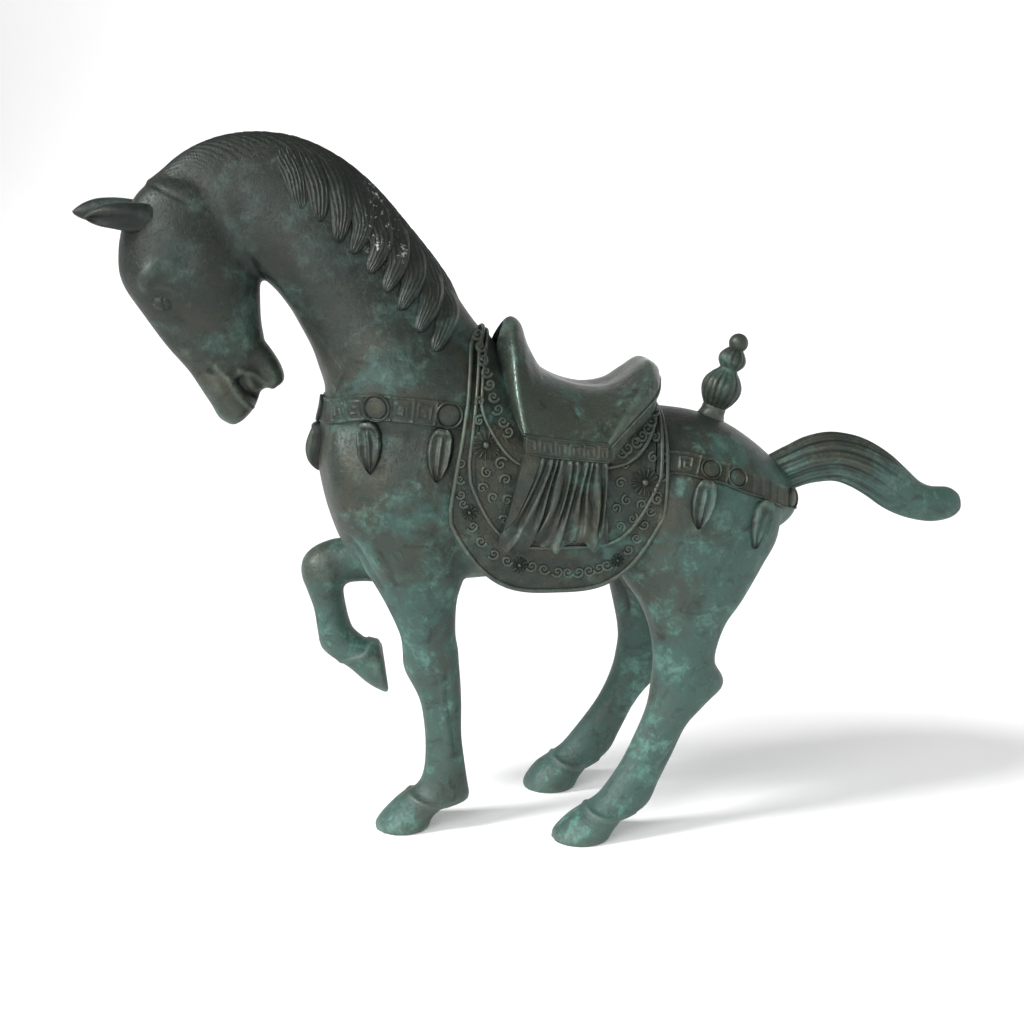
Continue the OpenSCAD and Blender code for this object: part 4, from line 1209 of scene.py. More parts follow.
@dataclass
class Belt(Assembly):
    """Band below the seat's flap with raised key-pattern squares, over a pleated drape."""

    top: tuple[tuple[float, float], ...] = ((-18, 281), (0, 278), (18, 276), (35, 274))
    height: float = 13.0
    y: float = -71.0
    squares: int = 6
    hook: Rows = ((-3.2, -3.2), (-3.2, 3.2), (3.2, 3.2), (3.2, -2.6), (-0.6, -2.6), (-0.6, 0.6))
    drape_top: float = 268.0
    drape_hem: float = 203.0
    drape_y: float = -66.0

    def surface(self) -> Surface:
        """Band as a height over its length and width: rims above and below, hooked squares."""
        columns = 130
        line = spline(self.top, columns)
        w = across(34)
        x = line[:, :1] + 0 * w
        z = line[:, 1:] - self.height * w
        s = down(columns, 0, self.squares) + 0 * w
        cell = np.stack([(s % 1) * 9.5 - 4.75, (0.5 - w) * self.height + 0 * s], -1)
        gap, _ = line_distance(cell.reshape(-1, 2), np.array(self.hook))
        rims = gauss(w - 0.05, 0.05) + gauss(w - 0.95, 0.05)
        height = 0.7 * gauss(gap.reshape(x.shape), 0.75) + 1.1 * rims + 0.6
        base = np.stack([x, np.full_like(x, self.y), z], -1)
        tone = np.clip(0.35 + 0.28 * height, 0, 1)
        return raised(base, np.broadcast_to(-ACROSS, base.shape), height, 5.0, tone)

    def pieces(self) -> dict[str, bpy.types.Object]:
        """The belt on both sides, and a drape on each."""
        drape = self.drape()
        return {
            "saddle_belt": Surface.joined(both_sides(self.surface())).piece("saddle_belt_band"),
            "left_saddle_drape": drape.piece("left_drape_folds"),
            "right_saddle_drape": drape.mirrored().piece("right_drape_folds"),
        }

    def drape(self) -> Surface:
        """Hanging cloth: fine pleats at the top that gather into broad folds with a zigzag hem.

        The fold phase runs across the cloth and drifts forward on the way down. The first part
        across is a plain flap.
        """
        u, t = across(190), down(90)
        left = -19 - 16 * t
        right = 35 - 3 * t + 4 * t**2
        x = left + (right - left) * u
        phase = u + (0.10 * t + 0.16 * t**3) * (1 - u)
        phase = phase + 0.016 * np.sin(7 * t + 15 * u) + 0.012 * np.sin(31 * u + 3 * t)
        pleated = blend(0.17, 0.24, phase)
        fine = (0.5 + 0.5 * cosine((phase - 0.24) / 0.082)) ** 0.9
        bent = 2 * math.pi * (phase - 0.30) / 0.19 + 1.6 * np.sin(5 * t + 6 * u)
        broad = (0.5 + 0.5 * np.cos(bent)) ** 0.8
        turning = 2 * math.pi * (1.9 * t + 2.6 * u) + 2.2 * np.sin(8 * u - 5 * t)
        swirl = 0.5 + 0.5 * np.cos(turning)
        mix = blend(0.50, 0.95, t)
        fold = (fine * (1 - 0.75 * mix) + (0.55 * broad + 0.45 * swirl) * mix) * pleated
        teeth = 0.5 + 0.35 * cosine(phase * 3.6 + 0.2) + 0.15 * cosine(phase * 8.3)
        hem = self.drape_hem + 10 * teeth
        z = self.drape_top + (hem - self.drape_top) * t - 5 * u * (1 - t)
        flap = (1 - pleated) * (1.6 + 1.2 * t)
        rumple = np.sin(14 * t + 22 * u) * np.sin(9 * t - 13 * u)
        height = 2.0 + 2.7 * fold * (0.65 + 0.6 * t) + flap + 0.9 * rumple * mix
        height = height * (1 - 0.55 * (1 - blend(0.0, 0.08, t)))
        base = np.stack([x, self.drape_y - 2.4 * blend(240, 262, z) + 0 * x, z], -1)
        tone = np.clip(0.18 + 0.62 * fold + 0.4 * (1 - pleated), 0, 1)
        return raised(base, np.broadcast_to(-ACROSS, base.shape), height + 1.2, 0.2, tone)


def wave_rows(line: Sequence[tuple[float, float]], count: int, size: float) -> tuple:
    """Row of tendrils along a line, turned this way and that."""
    return tuple((float(x), float(z), size, 200.0 + 140 * (i % 2), 1 - 2 * (i % 2))
                 for i, (x, z) in enumerate(spline(line, count)))


CLOTHS = (
    Cloth(
        "outer_cloth_casting", "outer_saddle_cloth",
        ((177, -64, 70), (215, -65, 72), (232, -65, 74), (250, -62, 75), (274, -57, 77),
         (300, -52, 80), (333, -48, 84), (346, -42, 86), (352, -39, 87)),
        hem=177, corner=46, out=-0.5, thick=3.0, rim=1.5, round=3.3,
        curls=wave_rows(((-58, 262), (-59, 246), (-57, 236)), 4, 2.9)
        + wave_rows(((-51, 221), (-42, 206), (-29, 198)), 4, 3.6)
        + wave_rows(((-13, 194), (2, 190), (14, 189), (26, 190), (36, 193)), 8, 3.7)
        + wave_rows(((50, 203), (58, 215), (64, 228), (70, 244), (73, 262)), 7, 3.2),
        flowers=((-53, 230, 5.5, 10), (-21, 194.5, 5.5, 10), (43, 196, 4.5, 10)),
    ),
    Cloth(
        "middle_cloth_casting", "middle_saddle_cloth",
        ((206, -50, 66), (240, -52, 69), (262, -53, 72), (294, -48, 77), (330, -43, 83),
         (346, -36, 85)),
        hem=206, corner=44, out=2.0, thick=2.6, rim=1.3, round=4.5,
        curls=((-33, 261, 4.2, 30, 1), (-30, 251, 3.6, 200, -1), (-42, 256, 3.4, 120, 1),
               (-38, 240, 3.4, 250, -1), (-29, 238, 3.2, 40, 1), (-31, 225, 3.0, 160, -1),
               (-45, 246, 3.2, 10, 1), (-23, 228, 3.2, 300, 1), (-24, 216, 3.0, 80, -1),
               (-46, 288, 3.0, 60, 1), (-45, 300, 2.8, 220, -1), (52, 266, 3.2, 20, 1),
               (52, 224, 3.2, 60, -1), (44, 219, 3.0, 300, 1), (69, 274, 2.8, 40, -1),
               (68, 236, 3.0, 160, 1), (33, 214, 2.8, 20, 1), (14, 211, 2.8, 90, -1),
               (-6, 211, 2.8, 10, 1), (47, 258, 3.6, 200, -1), (44, 247, 3.4, 20, 1),
               (48, 236, 3.4, 100, 1), (58, 233, 3.2, 220, -1), (41, 231, 3.0, 300, 1),
               (66, 262, 3.0, 80, 1)),
    ),
    Cloth(
        "saddle_pad_casting", "saddle_pad",
        ((258, -42, 72), (290, -45, 77), (315, -42, 81), (335, -37, 84), (350, -31, 86)),
        hem=257, corner=40, out=4.5, thick=2.4, rim=1.2, round=5.0,
        curls=wave_rows(((-44, 340), (-42, 328), (-40, 316), (-37, 304), (-33, 292),
                         (-28, 281)), 9, 3.5)
        + wave_rows(((73, 293), (67, 282), (57, 273), (45, 266)), 8, 3.4),
    ),
)


@dataclass
class Rosettes(Assembly):
    """Sun-rayed flowers on the middle cloth, front and rear."""

    places: tuple[tuple[float, float], ...] = ((-42, 273), (60, 247))
    radius: float = 9.5
    out: float = 4.6

    def pieces(self) -> dict[str, bpy.types.Object]:
        """Near and far pair."""
        near = Surface.joined([flower(*at, self.radius, 15, self.out, 2.2) for at in self.places])
        return {"left_rosettes": near.piece("left_sun_flowers"),
                "right_rosettes": near.mirrored().piece("right_sun_flowers")}


SINK = 1.5


@dataclass
class Strap(Assembly):
    """Harness strap round the body with medallions on it and leaves hanging from it.

    The line runs from the saddle on the near side to the middle; the far side mirrors it. A place
    is a fraction of that line, and a thing at place 1 lies in the middle and is made once.
    """

    name: str
    ground: Ground
    line: Rows
    widths: tuple[float, float]
    medallions: tuple[float, ...]
    pendants: tuple[float, ...]
    keys: tuple[float, ...]
    bars: tuple[float, ...]
    leaf: float = 35.0
    medal: float = 9.0
    hook: Rows = ((-4.2, 4.2), (-4.2, -4.2), (4.2, -4.2), (4.2, 3.2), (-0.8, 3.2), (-0.8, -0.6),
                  (1.4, -0.6))
    leaf_shape: Rows = ((0, 0.06, 0.2, 0.45, 0.7, 0.88, 0.97, 1),
                        (0.45, 0.72, 0.95, 1, 0.82, 0.45, 0.16, 0.02))

    def path(self, count: int) -> Array:
        """Even steps along the whole line, from the near end round to the far end."""
        near = np.array(self.line, float)
        whole = spline(np.concatenate([near, near[-2::-1] * (1, -1, 1)]), 900)
        run = np.concatenate([[0], np.cumsum(np.linalg.norm(np.diff(whole, axis=0), axis=1))])
        at = np.linspace(0, run[-1], count)
        return np.stack([np.interp(at, run, whole[:, i]) for i in range(3)], -1)

    def frame(self, f: float) -> tuple[Array, Array, Array]:
        """Point, tangent and downward direction at a fraction f of the near half."""
        path, normals = self.ground.settle(self.path(401))
        i = int(round(f * 200))
        t = unit(path[min(i + 3, 400)] - path[max(i - 3, 0)])
        down = unit(np.cross(normals[i], t))
        down = down * (-1 if down[2] > 0 else 1)
        return path[i], t, down

    def stamp(self, f: float, a: Array, c: Array, height: Array, closed: bool = False) -> Surface:
        """Relief laid on the body about a place of the strap, a along it and c down from it.

        Args:
            f: Fraction of the near half at which the place lies.
            a: Distances along the strap.
            c: Distances down from it, of the same shape.
            height: Heights over the body.
            closed: Whether the columns close into rings.

        Returns:
            The closed relief.
        """
        p, t, down = self.frame(f)
        base, normals = self.ground.settle(p + a[..., None] * t + c[..., None] * down)
        tone = np.clip(0.42 + 0.30 * (height - height.mean()), 0, 1)
        if not closed:
            return raised(base, normals, height, SINK, tone)
        top = base + normals * height[..., None]
        ring = base[-1:] - normals[-1:] * SINK
        return skin(np.concatenate([top, ring]), np.concatenate([tone, tone[-1:]]))

    def band(self) -> Surface:
        """The strap: a flat band with a bead on each edge, key squares and upright bars."""
        path, normals = self.ground.settle(self.path(420))
        t = unit(np.gradient(path, axis=0))
        down = unit(np.cross(normals, t))
        down *= np.where(down[:, 2:] > 0, -1, 1)
        run = np.concatenate([[0], np.cumsum(np.linalg.norm(np.diff(path, axis=0), axis=1))])
        length = run[-1]
        fold = np.minimum(run, length - run)
        w = across(30, -1)
        half = np.interp(fold / (length / 2), [0, 1], self.widths)[:, None] / 2
        flat = path[:, None] + (w * half)[..., None] * down[:, None]
        base, up = self.ground.settle(flat)
        s = fold[:, None] + 0 * w
        c = w * half
        height = 1.3 + 0.9 * gauss(np.abs(w) - 0.90, 0.10) + 0 * s
        hook = np.array(self.hook) * (half.mean() / 8.6)
        for f in self.keys:
            near = np.stack([(s - f * length / 2), c], -1)
            close = np.abs(near[..., 0]) < 8
            gap, _ = line_distance(near[close], hook)
            height[close] += 0.9 * gauss(gap, 0.62)
        for f in self.bars:
            height += 0.8 * gauss(s - f * length / 2, 0.8) * (np.abs(w) < 0.9)
        height = height * (1 - 0.45 * blend(0.78, 0.98, s / (length / 2)))
        return raised(base, up, height, SINK, np.clip(0.30 + 0.25 * (height - 1.0), 0, 1))

    def medallion(self, f: float) -> Surface:
        """Disc with two rings and a button, as a height over the radius."""
        r, a = down(30, 0.02), around(56)
        rings = 0.8 * gauss(r - 0.92, 0.06) - 0.7 * gauss(r - 0.78, 0.05)
        height = 2.3 + rings + 0.4 * (1 - blend(0.2, 0.7, r)) + 0 * a
        x, y = self.medal * r * np.cos(a), self.medal * r * np.sin(a)
        return self.stamp(f, x, y, height, closed=True)

    def pendant(self, f: float) -> Surface:
        """Leaf that ends in a point, domed, with a ridge and a lip.

        The dome is a power of a half circle across and falls to nothing at the point. The leaf in
        the middle of the chest is fuller.
        """
        t, s = down(60), across(33, -1)
        width = 8.6 * np.interp(t, *self.leaf_shape)
        dome = np.sqrt(np.clip(1 - s**2, 0, 1))
        rib = 1.1 * gauss(s, 0.16) * blend(0.12, 0.25, t) * (1 - blend(0.8, 0.95, t))
        lip = 0.9 * gauss(np.abs(s) - 0.80, 0.13) * blend(0.1, 0.2, t)
        cap = 1.6 * gauss(t - 0.06, 0.07)
        dish = 1.3 * (1 - blend(0.3, 0.8, np.abs(s))) * dome
        height = 0.4 + 3.4 * dome**0.7 * np.sqrt(np.clip(1 - t**5, 0, 1)) - dish
        height = height + rib + lip * dome + cap * dome
        height = height * (0.35 + 2.4 * np.sin(math.pi * t) ** 0.6 if f == 1 else 1.3)
        c = self.widths[0] / 2 + 0.5 + t * self.leaf + 0 * s
        return self.stamp(f, s * width, c, height)

    def pieces(self) -> dict[str, bpy.types.Object]:
        """Strap, medallions and pendants of both sides."""
        made = {f"{self.name}_strap": self.band().piece(f"{self.name}_strap_band")}
        for kind, shown, make, places in (
            ("medallions", "medallion_discs", self.medallion, self.medallions),
            ("pendants", "pendant_leaves", self.pendant, self.pendants),
        ):
            parts = []
            for f in places:
                parts += [make(f)] if f == 1 else both_sides(make(f))
            made[f"{self.name}_{kind}"] = Surface.joined(parts).piece(f"{self.name}_{shown}")
        return made


BREAST = dict(
    name="breast",
    line=((-52, -60, 290), (-63, -60, 291), (-80, -59.5, 293), (-104, -57, 295),
          (-122, -51, 295), (-135, -39, 293), (-143, -22, 291), (-146, 0, 290)),
    widths=(17, 16), medallions=(0.09, 0.47, 1.0), pendants=(0.11, 0.53, 1.0),
    keys=(0.22, 0.34, 0.60, 0.71), bars=(0.16, 0.28, 0.40, 0.54, 0.655, 0.77, 0.86),
)
CRUPPER = dict(
    name="crupper",
    line=((72, -62.5, 262), (90, -63, 261), (104, -62, 256), (118, -59, 250), (130, -55, 243),
          (142, -48, 237), (154, -40, 231), (164, -28, 227), (171, -14, 223), (174, 0, 221)),
    widths=(17, 14), medallions=(0.245, 0.385, 0.80), pendants=(0.235, 0.56),
    keys=(0.11,), bars=(0.175, 0.315, 0.455, 0.51, 0.565, 0.62, 0.70, 0.90), medal=7.2,
)


@dataclass
class Finial(Assembly):
    """Jointed spire on the croup: a waisted base, a fluted bud, a fluted bead and a ball."""

    origin: tuple[float, float, float] = (117, 0, 276)
    lean: float = 20.0
    depth: float = 0.085

    def turned_part(self, profile: Rows, flutes: int = 0) -> Surface:
        """Solid of revolution whose radius swells and shrinks round it by the flutes.

        Args:
            profile: Rows of radius and height.
            flutes: How many grooves, or none.

        Returns:
            The closed part.
        """
        rings = 60
        rows = spline(profile, rings)
        t, a = down(rings), around(96)
        groove = np.abs(np.sin(flutes * a / 2)) ** 0.6 if flutes else np.ones_like(a)
        ends = np.clip(np.sin(math.pi * t), 0, 1) ** 0.5
        r = rows[:, :1] * (1 - self.depth * (1 - groove) * ends)
        x, y, z = r * np.cos(a), r * np.sin(a), rows[:, 1:] + 0 * a
        c, s = math.cos(math.radians(self.lean)), math.sin(math.radians(self.lean))
        p = np.stack([x * c + z * s, y, z * c - x * s], -1) + np.array(self.origin)
        return skin(p, np.clip(0.25 + 0.55 * groove + 0 * t, 0, 1))

    def pieces(self) -> dict[str, bpy.types.Object]:
        """The four parts from the croup up."""
        k = np.linspace(0.02, math.pi - 0.02, 13)
        ball = np.stack([6.6 * np.sin(k), 56.0 - 6.6 * np.cos(k)], -1)
        bud = ((6.5, 8.5), (8.2, 11), (11.5, 16), (13.6, 22), (13.2, 27.5), (10.3, 32.5),
               (7.2, 36), (6, 38))
        knob = ((5, 36.5), (7, 38.5), (9.2, 42), (9.4, 45.5), (7.6, 49), (5.4, 51.5), (4.4, 53))
        base = ((12, -6), (11.6, -2), (10.6, 1.5), (9.2, 4.5), (8.3, 7.5), (8.2, 10), (7, 12))
        return {
            "finial_base": self.turned_part(base).piece("finial_foot"),
            "finial_bud": self.turned_part(bud, 18).piece("finial_fluted_bud"),
            "finial_bead": self.turned_part(knob, 14).piece("finial_fluted_bead"),
            "finial_ball": self.turned_part(ball).piece("finial_top_ball"),
        }


# ------------------------------------------------------------------ finishes


class Value:
    """Socket of numbers with arithmetic: each operator adds one Math node."""

    def __init__(self, graph: "Graph", socket: bpy.types.NodeSocket) -> None:
        """Holds the socket and the graph that new nodes go into."""
        self.graph, self.socket = graph, socket

    def math(self, operation: str, *values: "Value | float", clamp: bool = False) -> "Value":
        """Result of one Math node on this value and the others."""
        settings = {"operation": operation, "use_clamp": clamp}
        inputs = dict(enumerate((self, *values)))
        return Value(self.graph, self.graph.add("Math", settings, inputs).outputs[0])

    def __add__(self, other: "Value | float") -> "Value":
        """Sum."""
        return self.math("ADD", other)

    def __sub__(self, other: "Value | float") -> "Value":
        """Difference."""
        return self.math("SUBTRACT", other)

    def __rsub__(self, other: float) -> "Value":
        """Difference from a number."""
        return (self * -1.0) + other

    def __mul__(self, other: "Value | float") -> "Value":
        """Product."""
        return self.math("MULTIPLY", other)

    __radd__, __rmul__ = __add__, __mul__

    def step(self, low: float, high: float) -> "Value":
        """Smooth step from 0 at low to 1 at high."""
        inputs = {"Value": self, "From Min": low, "From Max": high, "To Min": 0.0, "To Max": 1.0}
        node = self.graph.add("MapRange", {"interpolation_type": "SMOOTHSTEP"}, inputs)
        return Value(self.graph, node.outputs[0])

    def clip(self) -> "Value":
        """Value held between 0 and 1."""
        return self.math("ADD", 0.0, clamp=True)


class Graph:
    """Node tree of one material, built by one method for every kind of node."""

    def __init__(self, name: str) -> None:
        """Starts a material that holds only what is added.

        Args:
            name: Name of the material.
        """
        self.material = bpy.data.materials.new(name)
        self.material.use_nodes = True
        self.nodes, self.links = self.material.node_tree.nodes, self.material.node_tree.links
        self.nodes.clear()

    def add(self, kind: str, settings: dict | None = None,
            inputs: dict | None = None) -> bpy.types.Node:
        """Adds a node, sets it, and fills or links its sockets.

        Args:
            kind: Node type without its ShaderNode prefix.
            settings: Properties of the node.
            inputs: Values, nodes' sockets or Values, by socket name or number.

        Returns:
            The new node.
        """
        node = self.nodes.new("ShaderNode" + kind)
        for key, value in (settings or {}).items():
            setattr(node, key, value)
        for key, value in (inputs or {}).items():
            socket = node.inputs[key]
            if isinstance(value, Value):
                value = value.socket
            if isinstance(value, bpy.types.NodeSocket):
                self.links.new(value, socket)
            else:
                socket.default_value = value
        return node

    def noise(self, at: bpy.types.NodeSocket, scale: float, detail: float, rough: float,
              bend: float = 0.0) -> Value:
        """Cloudy noise from 0 to 1, with scale in features per metre."""
        inputs = {"Vector": at, "Scale": scale, "Detail": detail, "Roughness": rough,
                  "Distortion": bend}
        return Value(self, self.add("TexNoise", None, inputs).outputs[0])

    def mix(self, factor: Value | float, a: object, b: object) -> bpy.types.NodeSocket:
        """Colour between a and b."""
        return self.add("Mix", {"data_type": "RGBA"}, {0: factor, 6: a, 7: b}).outputs[2]


Colour = tuple[float, float, float, float]


@dataclass(frozen=True)
class Patina:
    """Aged bronze: dark skin, green and teal crust in clouds, brown metal, rubbed high spots.

    The crust follows noise on Object coordinates. High and low spots come from the tone
    attribute, which the meshes carry. Higher than 0.29 m the colour darkens as painted shade.
    """

    name: str
    skin_colour: Colour = (0.019, 0.029, 0.023, 1)
    deep_colour: Colour = (0.005, 0.008, 0.007, 1)
    brown_colour: Colour = (0.046, 0.043, 0.026, 1)
    teal_colour: Colour = (0.018, 0.070, 0.057, 1)
    bright_colour: Colour = (0.055, 0.20, 0.163, 1)
    chalk_colour: Colour = (0.080, 0.108, 0.096, 1)
    pale_colour: Colour = (0.130, 0.165, 0.130, 1)
    speck_colour: Colour = (0.50, 0.53, 0.46, 1)
    teal: float = 0.5
    brown: float = 0.5
    pale: float = 0.5
    rubbed: float = 0.6
    low_teal: float = 0.0
    specks: float = 0.0
    rough: float = 0.46
    metal: float = 0.4
    grain: float = 1.35

    def material(self) -> bpy.types.Material:
        """Builds the material of this finish."""
        g = Graph(self.name)
        at = g.add("TexCoord").outputs["Object"]
        tone = Value(g, g.add("Attribute", {"attribute_name": "tone"}).outputs["Fac"])
        place = g.add("SeparateXYZ", None, {0: at}).outputs
        along, height = Value(g, place[0]), Value(g, place[2])
        clouds = g.noise(at, 17, 4, 0.55, 0.5)
        patches = g.noise(at, 46, 5, 0.60, 0.7)
        flecks = g.noise(at, 170, 5, 0.68, 0.5)
        dust = g.noise(at, 620, 3, 0.7)
        smears = g.noise(at, 33, 6, 0.70, 1.2)
        low = 1.0 - height.step(0.05, 0.27)
        aft = along.step(0.05, 0.12) * 1.8 * (1.0 - height.step(0.235, 0.275))
        knee = (1.0 - along.step(-0.125, -0.105)) * (1.0 - height.step(0.200, 0.215))
        brown = (smears.step(0.40, 0.66) * 0.8 + flecks.step(0.45, 0.75) * 0.3) * self.brown
        crust = clouds * 0.50 + patches * 0.38 + flecks * 0.12
        crust = crust + (low * 0.13 + aft * 0.05 + knee * 0.09) * self.low_teal
        edge = crust.step(0.56 - 0.10 * self.teal, 0.66 - 0.06 * self.teal)
        teal = edge * (flecks * 0.9 + 0.45)
        bright = (patches * 0.55 + flecks * 0.45).step(0.50, 0.66) * teal
        pale = (patches * 0.45 + flecks * 0.35 + dust * 0.20).step(0.50, 0.64) * self.pale
        stain = g.noise(at, 70, 6, 0.72, 1.0).step(0.50, 0.68) * 0.8
        # Painted shade: above 0.29 m (neck, head, mane, seat top, finial) the colour is mixed up to
        # 0.64 of the way to the deep colour, standing in for darker light up there.
        shade = height.step(0.29, 0.40) * 0.64
        rub = tone.step(0.58, 0.98) * (flecks * 0.7 + 0.3) * self.rubbed
        deep = 1.0 - tone.step(0.12, 0.50)
        chalk = (low * 0.55 * self.low_teal + aft * 0.08) * (clouds * 0.8 + 0.5)
        colour = g.mix(chalk.clip(), self.skin_colour, self.chalk_colour)
        colour = g.mix((brown * (1.0 - low * 0.35)).clip(), colour, self.brown_colour)
        colour = g.mix((teal * 0.80).clip(), colour, self.teal_colour)
        colour = g.mix((bright * (low * 0.72 + 0.14)).clip(), colour, self.bright_colour)
        colour = g.mix((pale * 0.40).clip(), colour, self.pale_colour)
        colour = g.mix((stain * 0.75).clip(), colour, self.deep_colour)
        colour = g.mix((rub * 0.60).clip(), colour, self.pale_colour)
        colour = g.mix((deep * 0.85).clip(), colour, self.deep_colour)
        # Painted shade by height.
        colour = g.mix(shade, colour, self.deep_colour)
        if self.specks:
            crest = along.step(-0.120, -0.108) * (1.0 - along.step(-0.094, -0.080))
            crest = crest * height.step(0.376, 0.392)
            spots = (flecks * 0.6 + dust * 0.4).step(0.56, 0.63) * crest * self.specks
            colour = g.mix(spots.clip(), colour, self.speck_colour)
        rough = (self.rough - 0.12) + flecks * 0.24 + teal * 0.12 - rub * 0.12
        pits = g.noise(at, 420, 4, 0.65).step(0.30, 0.50)
        relief = patches * 0.5 + flecks * 0.35 + dust * 0.12 + pits * 0.22 + teal * 0.12
        bump = g.add("Bump", None, {"Strength": 0.55 * self.grain, "Distance": 0.0009,
                                    "Height": relief})
        shader = g.add("BsdfPrincipled", None, {
            "Base Color": colour, "Metallic": ((1.0 - teal) * self.metal).clip(),
            "Roughness": rough.clip(), "Normal": bump.outputs[0], "Specular IOR Level": 0.5,
        })
        g.add("OutputMaterial", None, {"Surface": shader.outputs[0]})
        return g.material


FINISHES = {
    "bronze": Patina("bronze", teal=0.62, brown=0.7, pale=0.7, low_teal=1.0, specks=0.8),
    "mane": Patina("mane", teal=0.2, brown=0.7, pale=0.3, rubbed=0.6, specks=0.7),
    "cloth": Patina("cloth", teal=0.4, brown=1.0, pale=0.35, rubbed=0.7, grain=1.9),
    # The seat's lighter skin, pale mottles and full rubs are partly its own colour and wear and partly
    # painted highlight on its upward-facing tops.
    "seat": Patina("seat", skin_colour=(0.034, 0.046, 0.036, 1), teal=0.4, brown=0.5, pale=1.0,
                   pale_colour=(0.115, 0.185, 0.145, 1), rubbed=1.0, rough=0.35),
    "trim": Patina("trim", teal=0.3, brown=0.9, pale=0.4, rubbed=0.5),
    "bare": Patina("bare", skin_colour=(0.30, 0.19, 0.08, 1), brown_colour=(0.24, 0.14, 0.06, 1),
                   teal=0.0, brown=0.6, pale=0.1, metal=0.9, rough=0.4, grain=0.5),
}
# slot, finish and the CAD nodes that have them
NODE_TABLE = (
    ("bronze", "bronze", "torso neck head left_foreleg right_foreleg left_hind_leg right_hind_leg"),
    ("bronze", "bronze", "left_ear right_ear tail"),
    ("bronze", "trim", "left_saddle_drape right_saddle_drape breast_strap crupper_strap"),
    ("bronze", "cloth", "saddle_pad"),
    ("dark_bronze", "bronze", "left_eye right_eye"),
    ("dark_bronze", "trim", "saddle_belt"),
    ("dark_bronze", "cloth", "outer_saddle_cloth"),
    ("brown_bronze", "seat", "saddle_seat"),
    ("brown_bronze", "cloth", "middle_saddle_cloth"),
    ("verdigris", "mane", "mane"),
    ("verdigris", "cloth", "left_rosettes right_rosettes"),
    ("verdigris", "trim", "breast_medallions crupper_medallions"),
    ("worn_bronze", "bronze", "breast_pendants crupper_pendants"),
    ("worn_bronze", "bronze", "finial_base finial_bud finial_bead finial_ball"),
)
LOOKS = {node: (slot, finish) for slot, finish, nodes in NODE_TABLE for node in nodes.split()}
INNER_NODES = ("finial_stud", "finial_nut", "neck_sleeve", "head_sleeve", "leg_dowels",
               "dowel_pins", "tail_tenon", "saddle_rivets")


def dress(node: str, piece: bpy.types.Object, finishes: dict[str, bpy.types.Material]) -> None:
    """Gives a piece its finish, rides it on the body and hides the CAD node it replaces.

    Args:
        node: CAD node that the piece replaces.
        piece: The piece.
        finishes: Materials by finish name.
    """
    slot, finish = LOOKS[node]
    piece.data.materials.clear()
    piece.data.materials.append(finishes[finish])
    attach(piece, "root")
    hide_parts(node)
    LOG.info("%s: %d faces", piece.name, len(piece.data.polygons))


# ------------------------------------------------------------------ stage


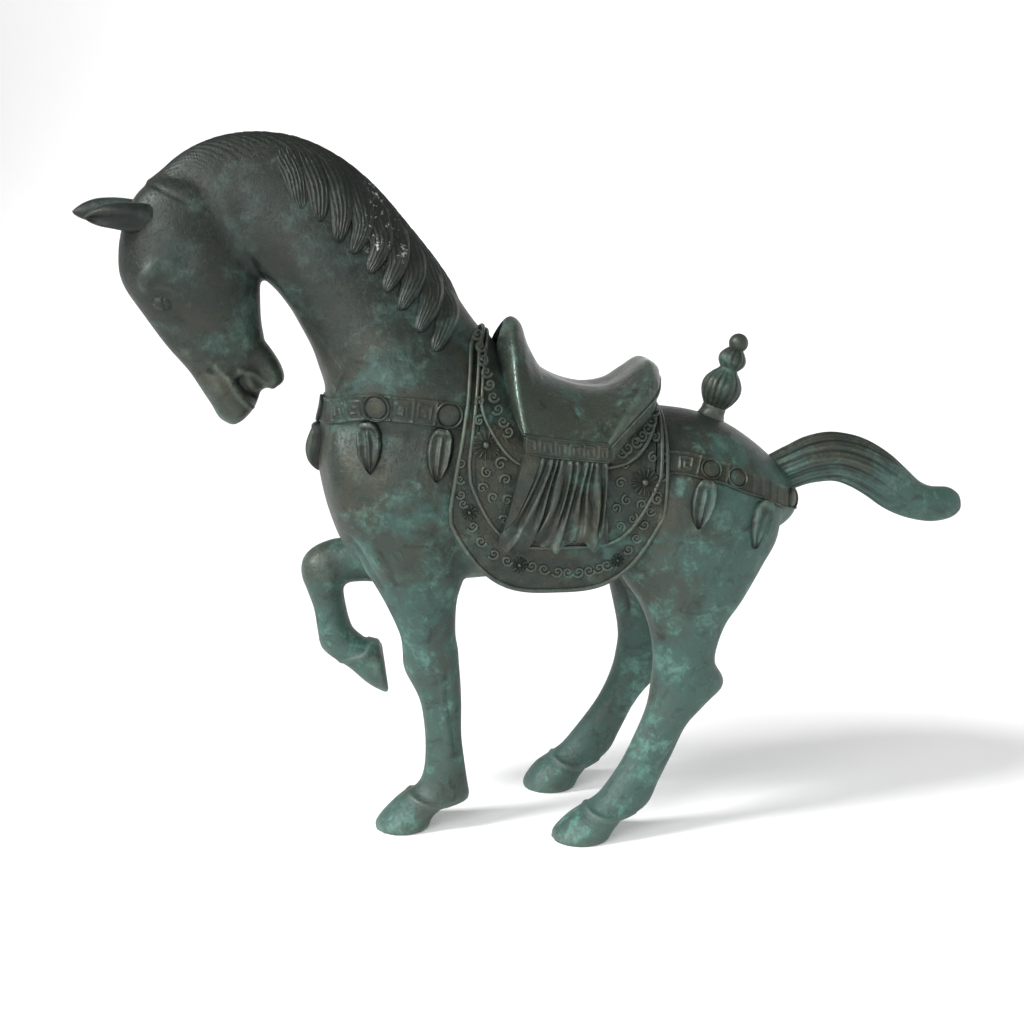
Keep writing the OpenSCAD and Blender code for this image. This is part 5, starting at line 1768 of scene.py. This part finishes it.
@dataclass
class Studio:
    """Pale floor, soft lights and the camera."""

    target: tuple[float, float, float] = (-0.018, 0.0, 0.216)
    distance: float = 1.1
    azimuth: float = -7.0
    elevation: float = 12.0
    lens: float = 57.0
    sky: float = 0.34
    floor_glow: float = 0.11

    def build(self) -> None:
        """Makes the cove, the world light, the sun, a soft lamp and the camera."""
        self.cove()
        self.world()
        self.sun("key", (-0.74, -0.22, 0.64), 3.2, 15.0)
        self.lamp("front", (-1.0, -1.5, 1.1), 1.2, 26.0)
        self.camera()

    def cove(self) -> None:
        """Floor that curves up into a round wall: radius and height over a quarter turn."""
        a = np.linspace(0, math.pi / 2, 16)
        radius = np.concatenate([[0.02, 2.0], 3.2 + 1.2 * np.sin(a), [4.4]])
        height = np.concatenate([[0, 0], 1.2 - 1.2 * np.cos(a), [1.9]])
        radius, height, sides = radius[:, None], height[:, None], 96
        turn = around(sides)
        grid = np.stack([radius * np.cos(turn), radius * np.sin(turn), height + 0 * turn], -1)
        points = np.concatenate([grid.reshape(-1, 3), [[0, 0, 0]]])
        j = np.arange(sides)
        middle = np.stack([j, (j + 1) % sides, np.full(sides, len(points) - 1)], -1)
        quads = grid_quads(len(radius), sides)[:, ::-1]
        floor = Surface(points / MM, quads, middle).piece("studio_floor")
        g = Graph("floor")
        shader = g.add("BsdfPrincipled", None, {
            "Base Color": (0.93, 0.93, 0.93, 1), "Roughness": 0.9, "Specular IOR Level": 0.1,
            "Emission Color": (1, 1, 1, 1), "Emission Strength": self.floor_glow,
        })
        g.add("OutputMaterial", None, {"Surface": shader.outputs[0]})
        floor.data.materials.append(g.material)

    def world(self) -> None:
        """Even pale light from all round."""
        world = bpy.data.worlds.new("studio")
        world.use_nodes = True
        background = world.node_tree.nodes["Background"]
        background.inputs[0].default_value = (1.0, 1.0, 1.0, 1)
        background.inputs[1].default_value = self.sky
        bpy.context.scene.world = world
        bpy.context.scene.view_settings.view_transform = "Standard"

    def sun(self, name: str, place: tuple[float, float, float], power: float,
            spread: float) -> None:
        """Wide soft sun that shines from a direction, over an angle in degrees."""
        light = bpy.data.lights.new(name, "SUN")
        light.energy, light.angle = power, math.radians(spread)
        self.aim(placed(name, light), -Vector(place))

    def lamp(self, name: str, place: tuple[float, float, float], size: float, power: float) -> None:
        """Square soft lamp that faces the horse."""
        light = bpy.data.lights.new(name, "AREA")
        light.size, light.energy = size, power
        lamp = placed(name, light)
        lamp.location = place
        self.aim(lamp, Vector(self.target) - Vector(place))

    @staticmethod
    def aim(thing: bpy.types.Object, way: Vector) -> None:
        """Turns a lamp or camera to face along a direction."""
        thing.rotation_euler = way.to_track_quat("-Z", "Y").to_euler()

    def camera(self) -> None:
        """Camera at the horse's near side, a little in front and above."""
        data = bpy.data.cameras.new("camera")
        data.lens, data.sensor_width = self.lens, 36.0
        camera = placed("camera", data)
        az, el = math.radians(self.azimuth), math.radians(self.elevation)
        back = Vector((math.sin(az) * math.cos(el), -math.cos(az) * math.cos(el), math.sin(el)))
        camera.location = Vector(self.target) + back * self.distance
        self.aim(camera, -back)
        bpy.context.scene.camera = camera


def main() -> None:
    """Builds the horse part by part, dresses it and sets the stage."""
    logging.basicConfig(level=logging.INFO, format="%(name)s: %(message)s")
    finishes = {name: finish.material() for name, finish in FINISHES.items()}
    castings = Castings()
    castings.build(finishes)
    ground = castings.ground
    for assembly in (
        Ears(), Eyes(), Tail(), Mane(ground), Seat(), Belt(), Rosettes(),
        Strap(ground=ground, **BREAST), Strap(ground=ground, **CRUPPER), Finial(), *CLOTHS,
    ):
        assembly.build(finishes)
    for node in INNER_NODES:
        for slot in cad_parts[node].material_slots:
            slot.material = finishes["bare"]
    Studio().build()


if __name__ == "__main__":
    main()
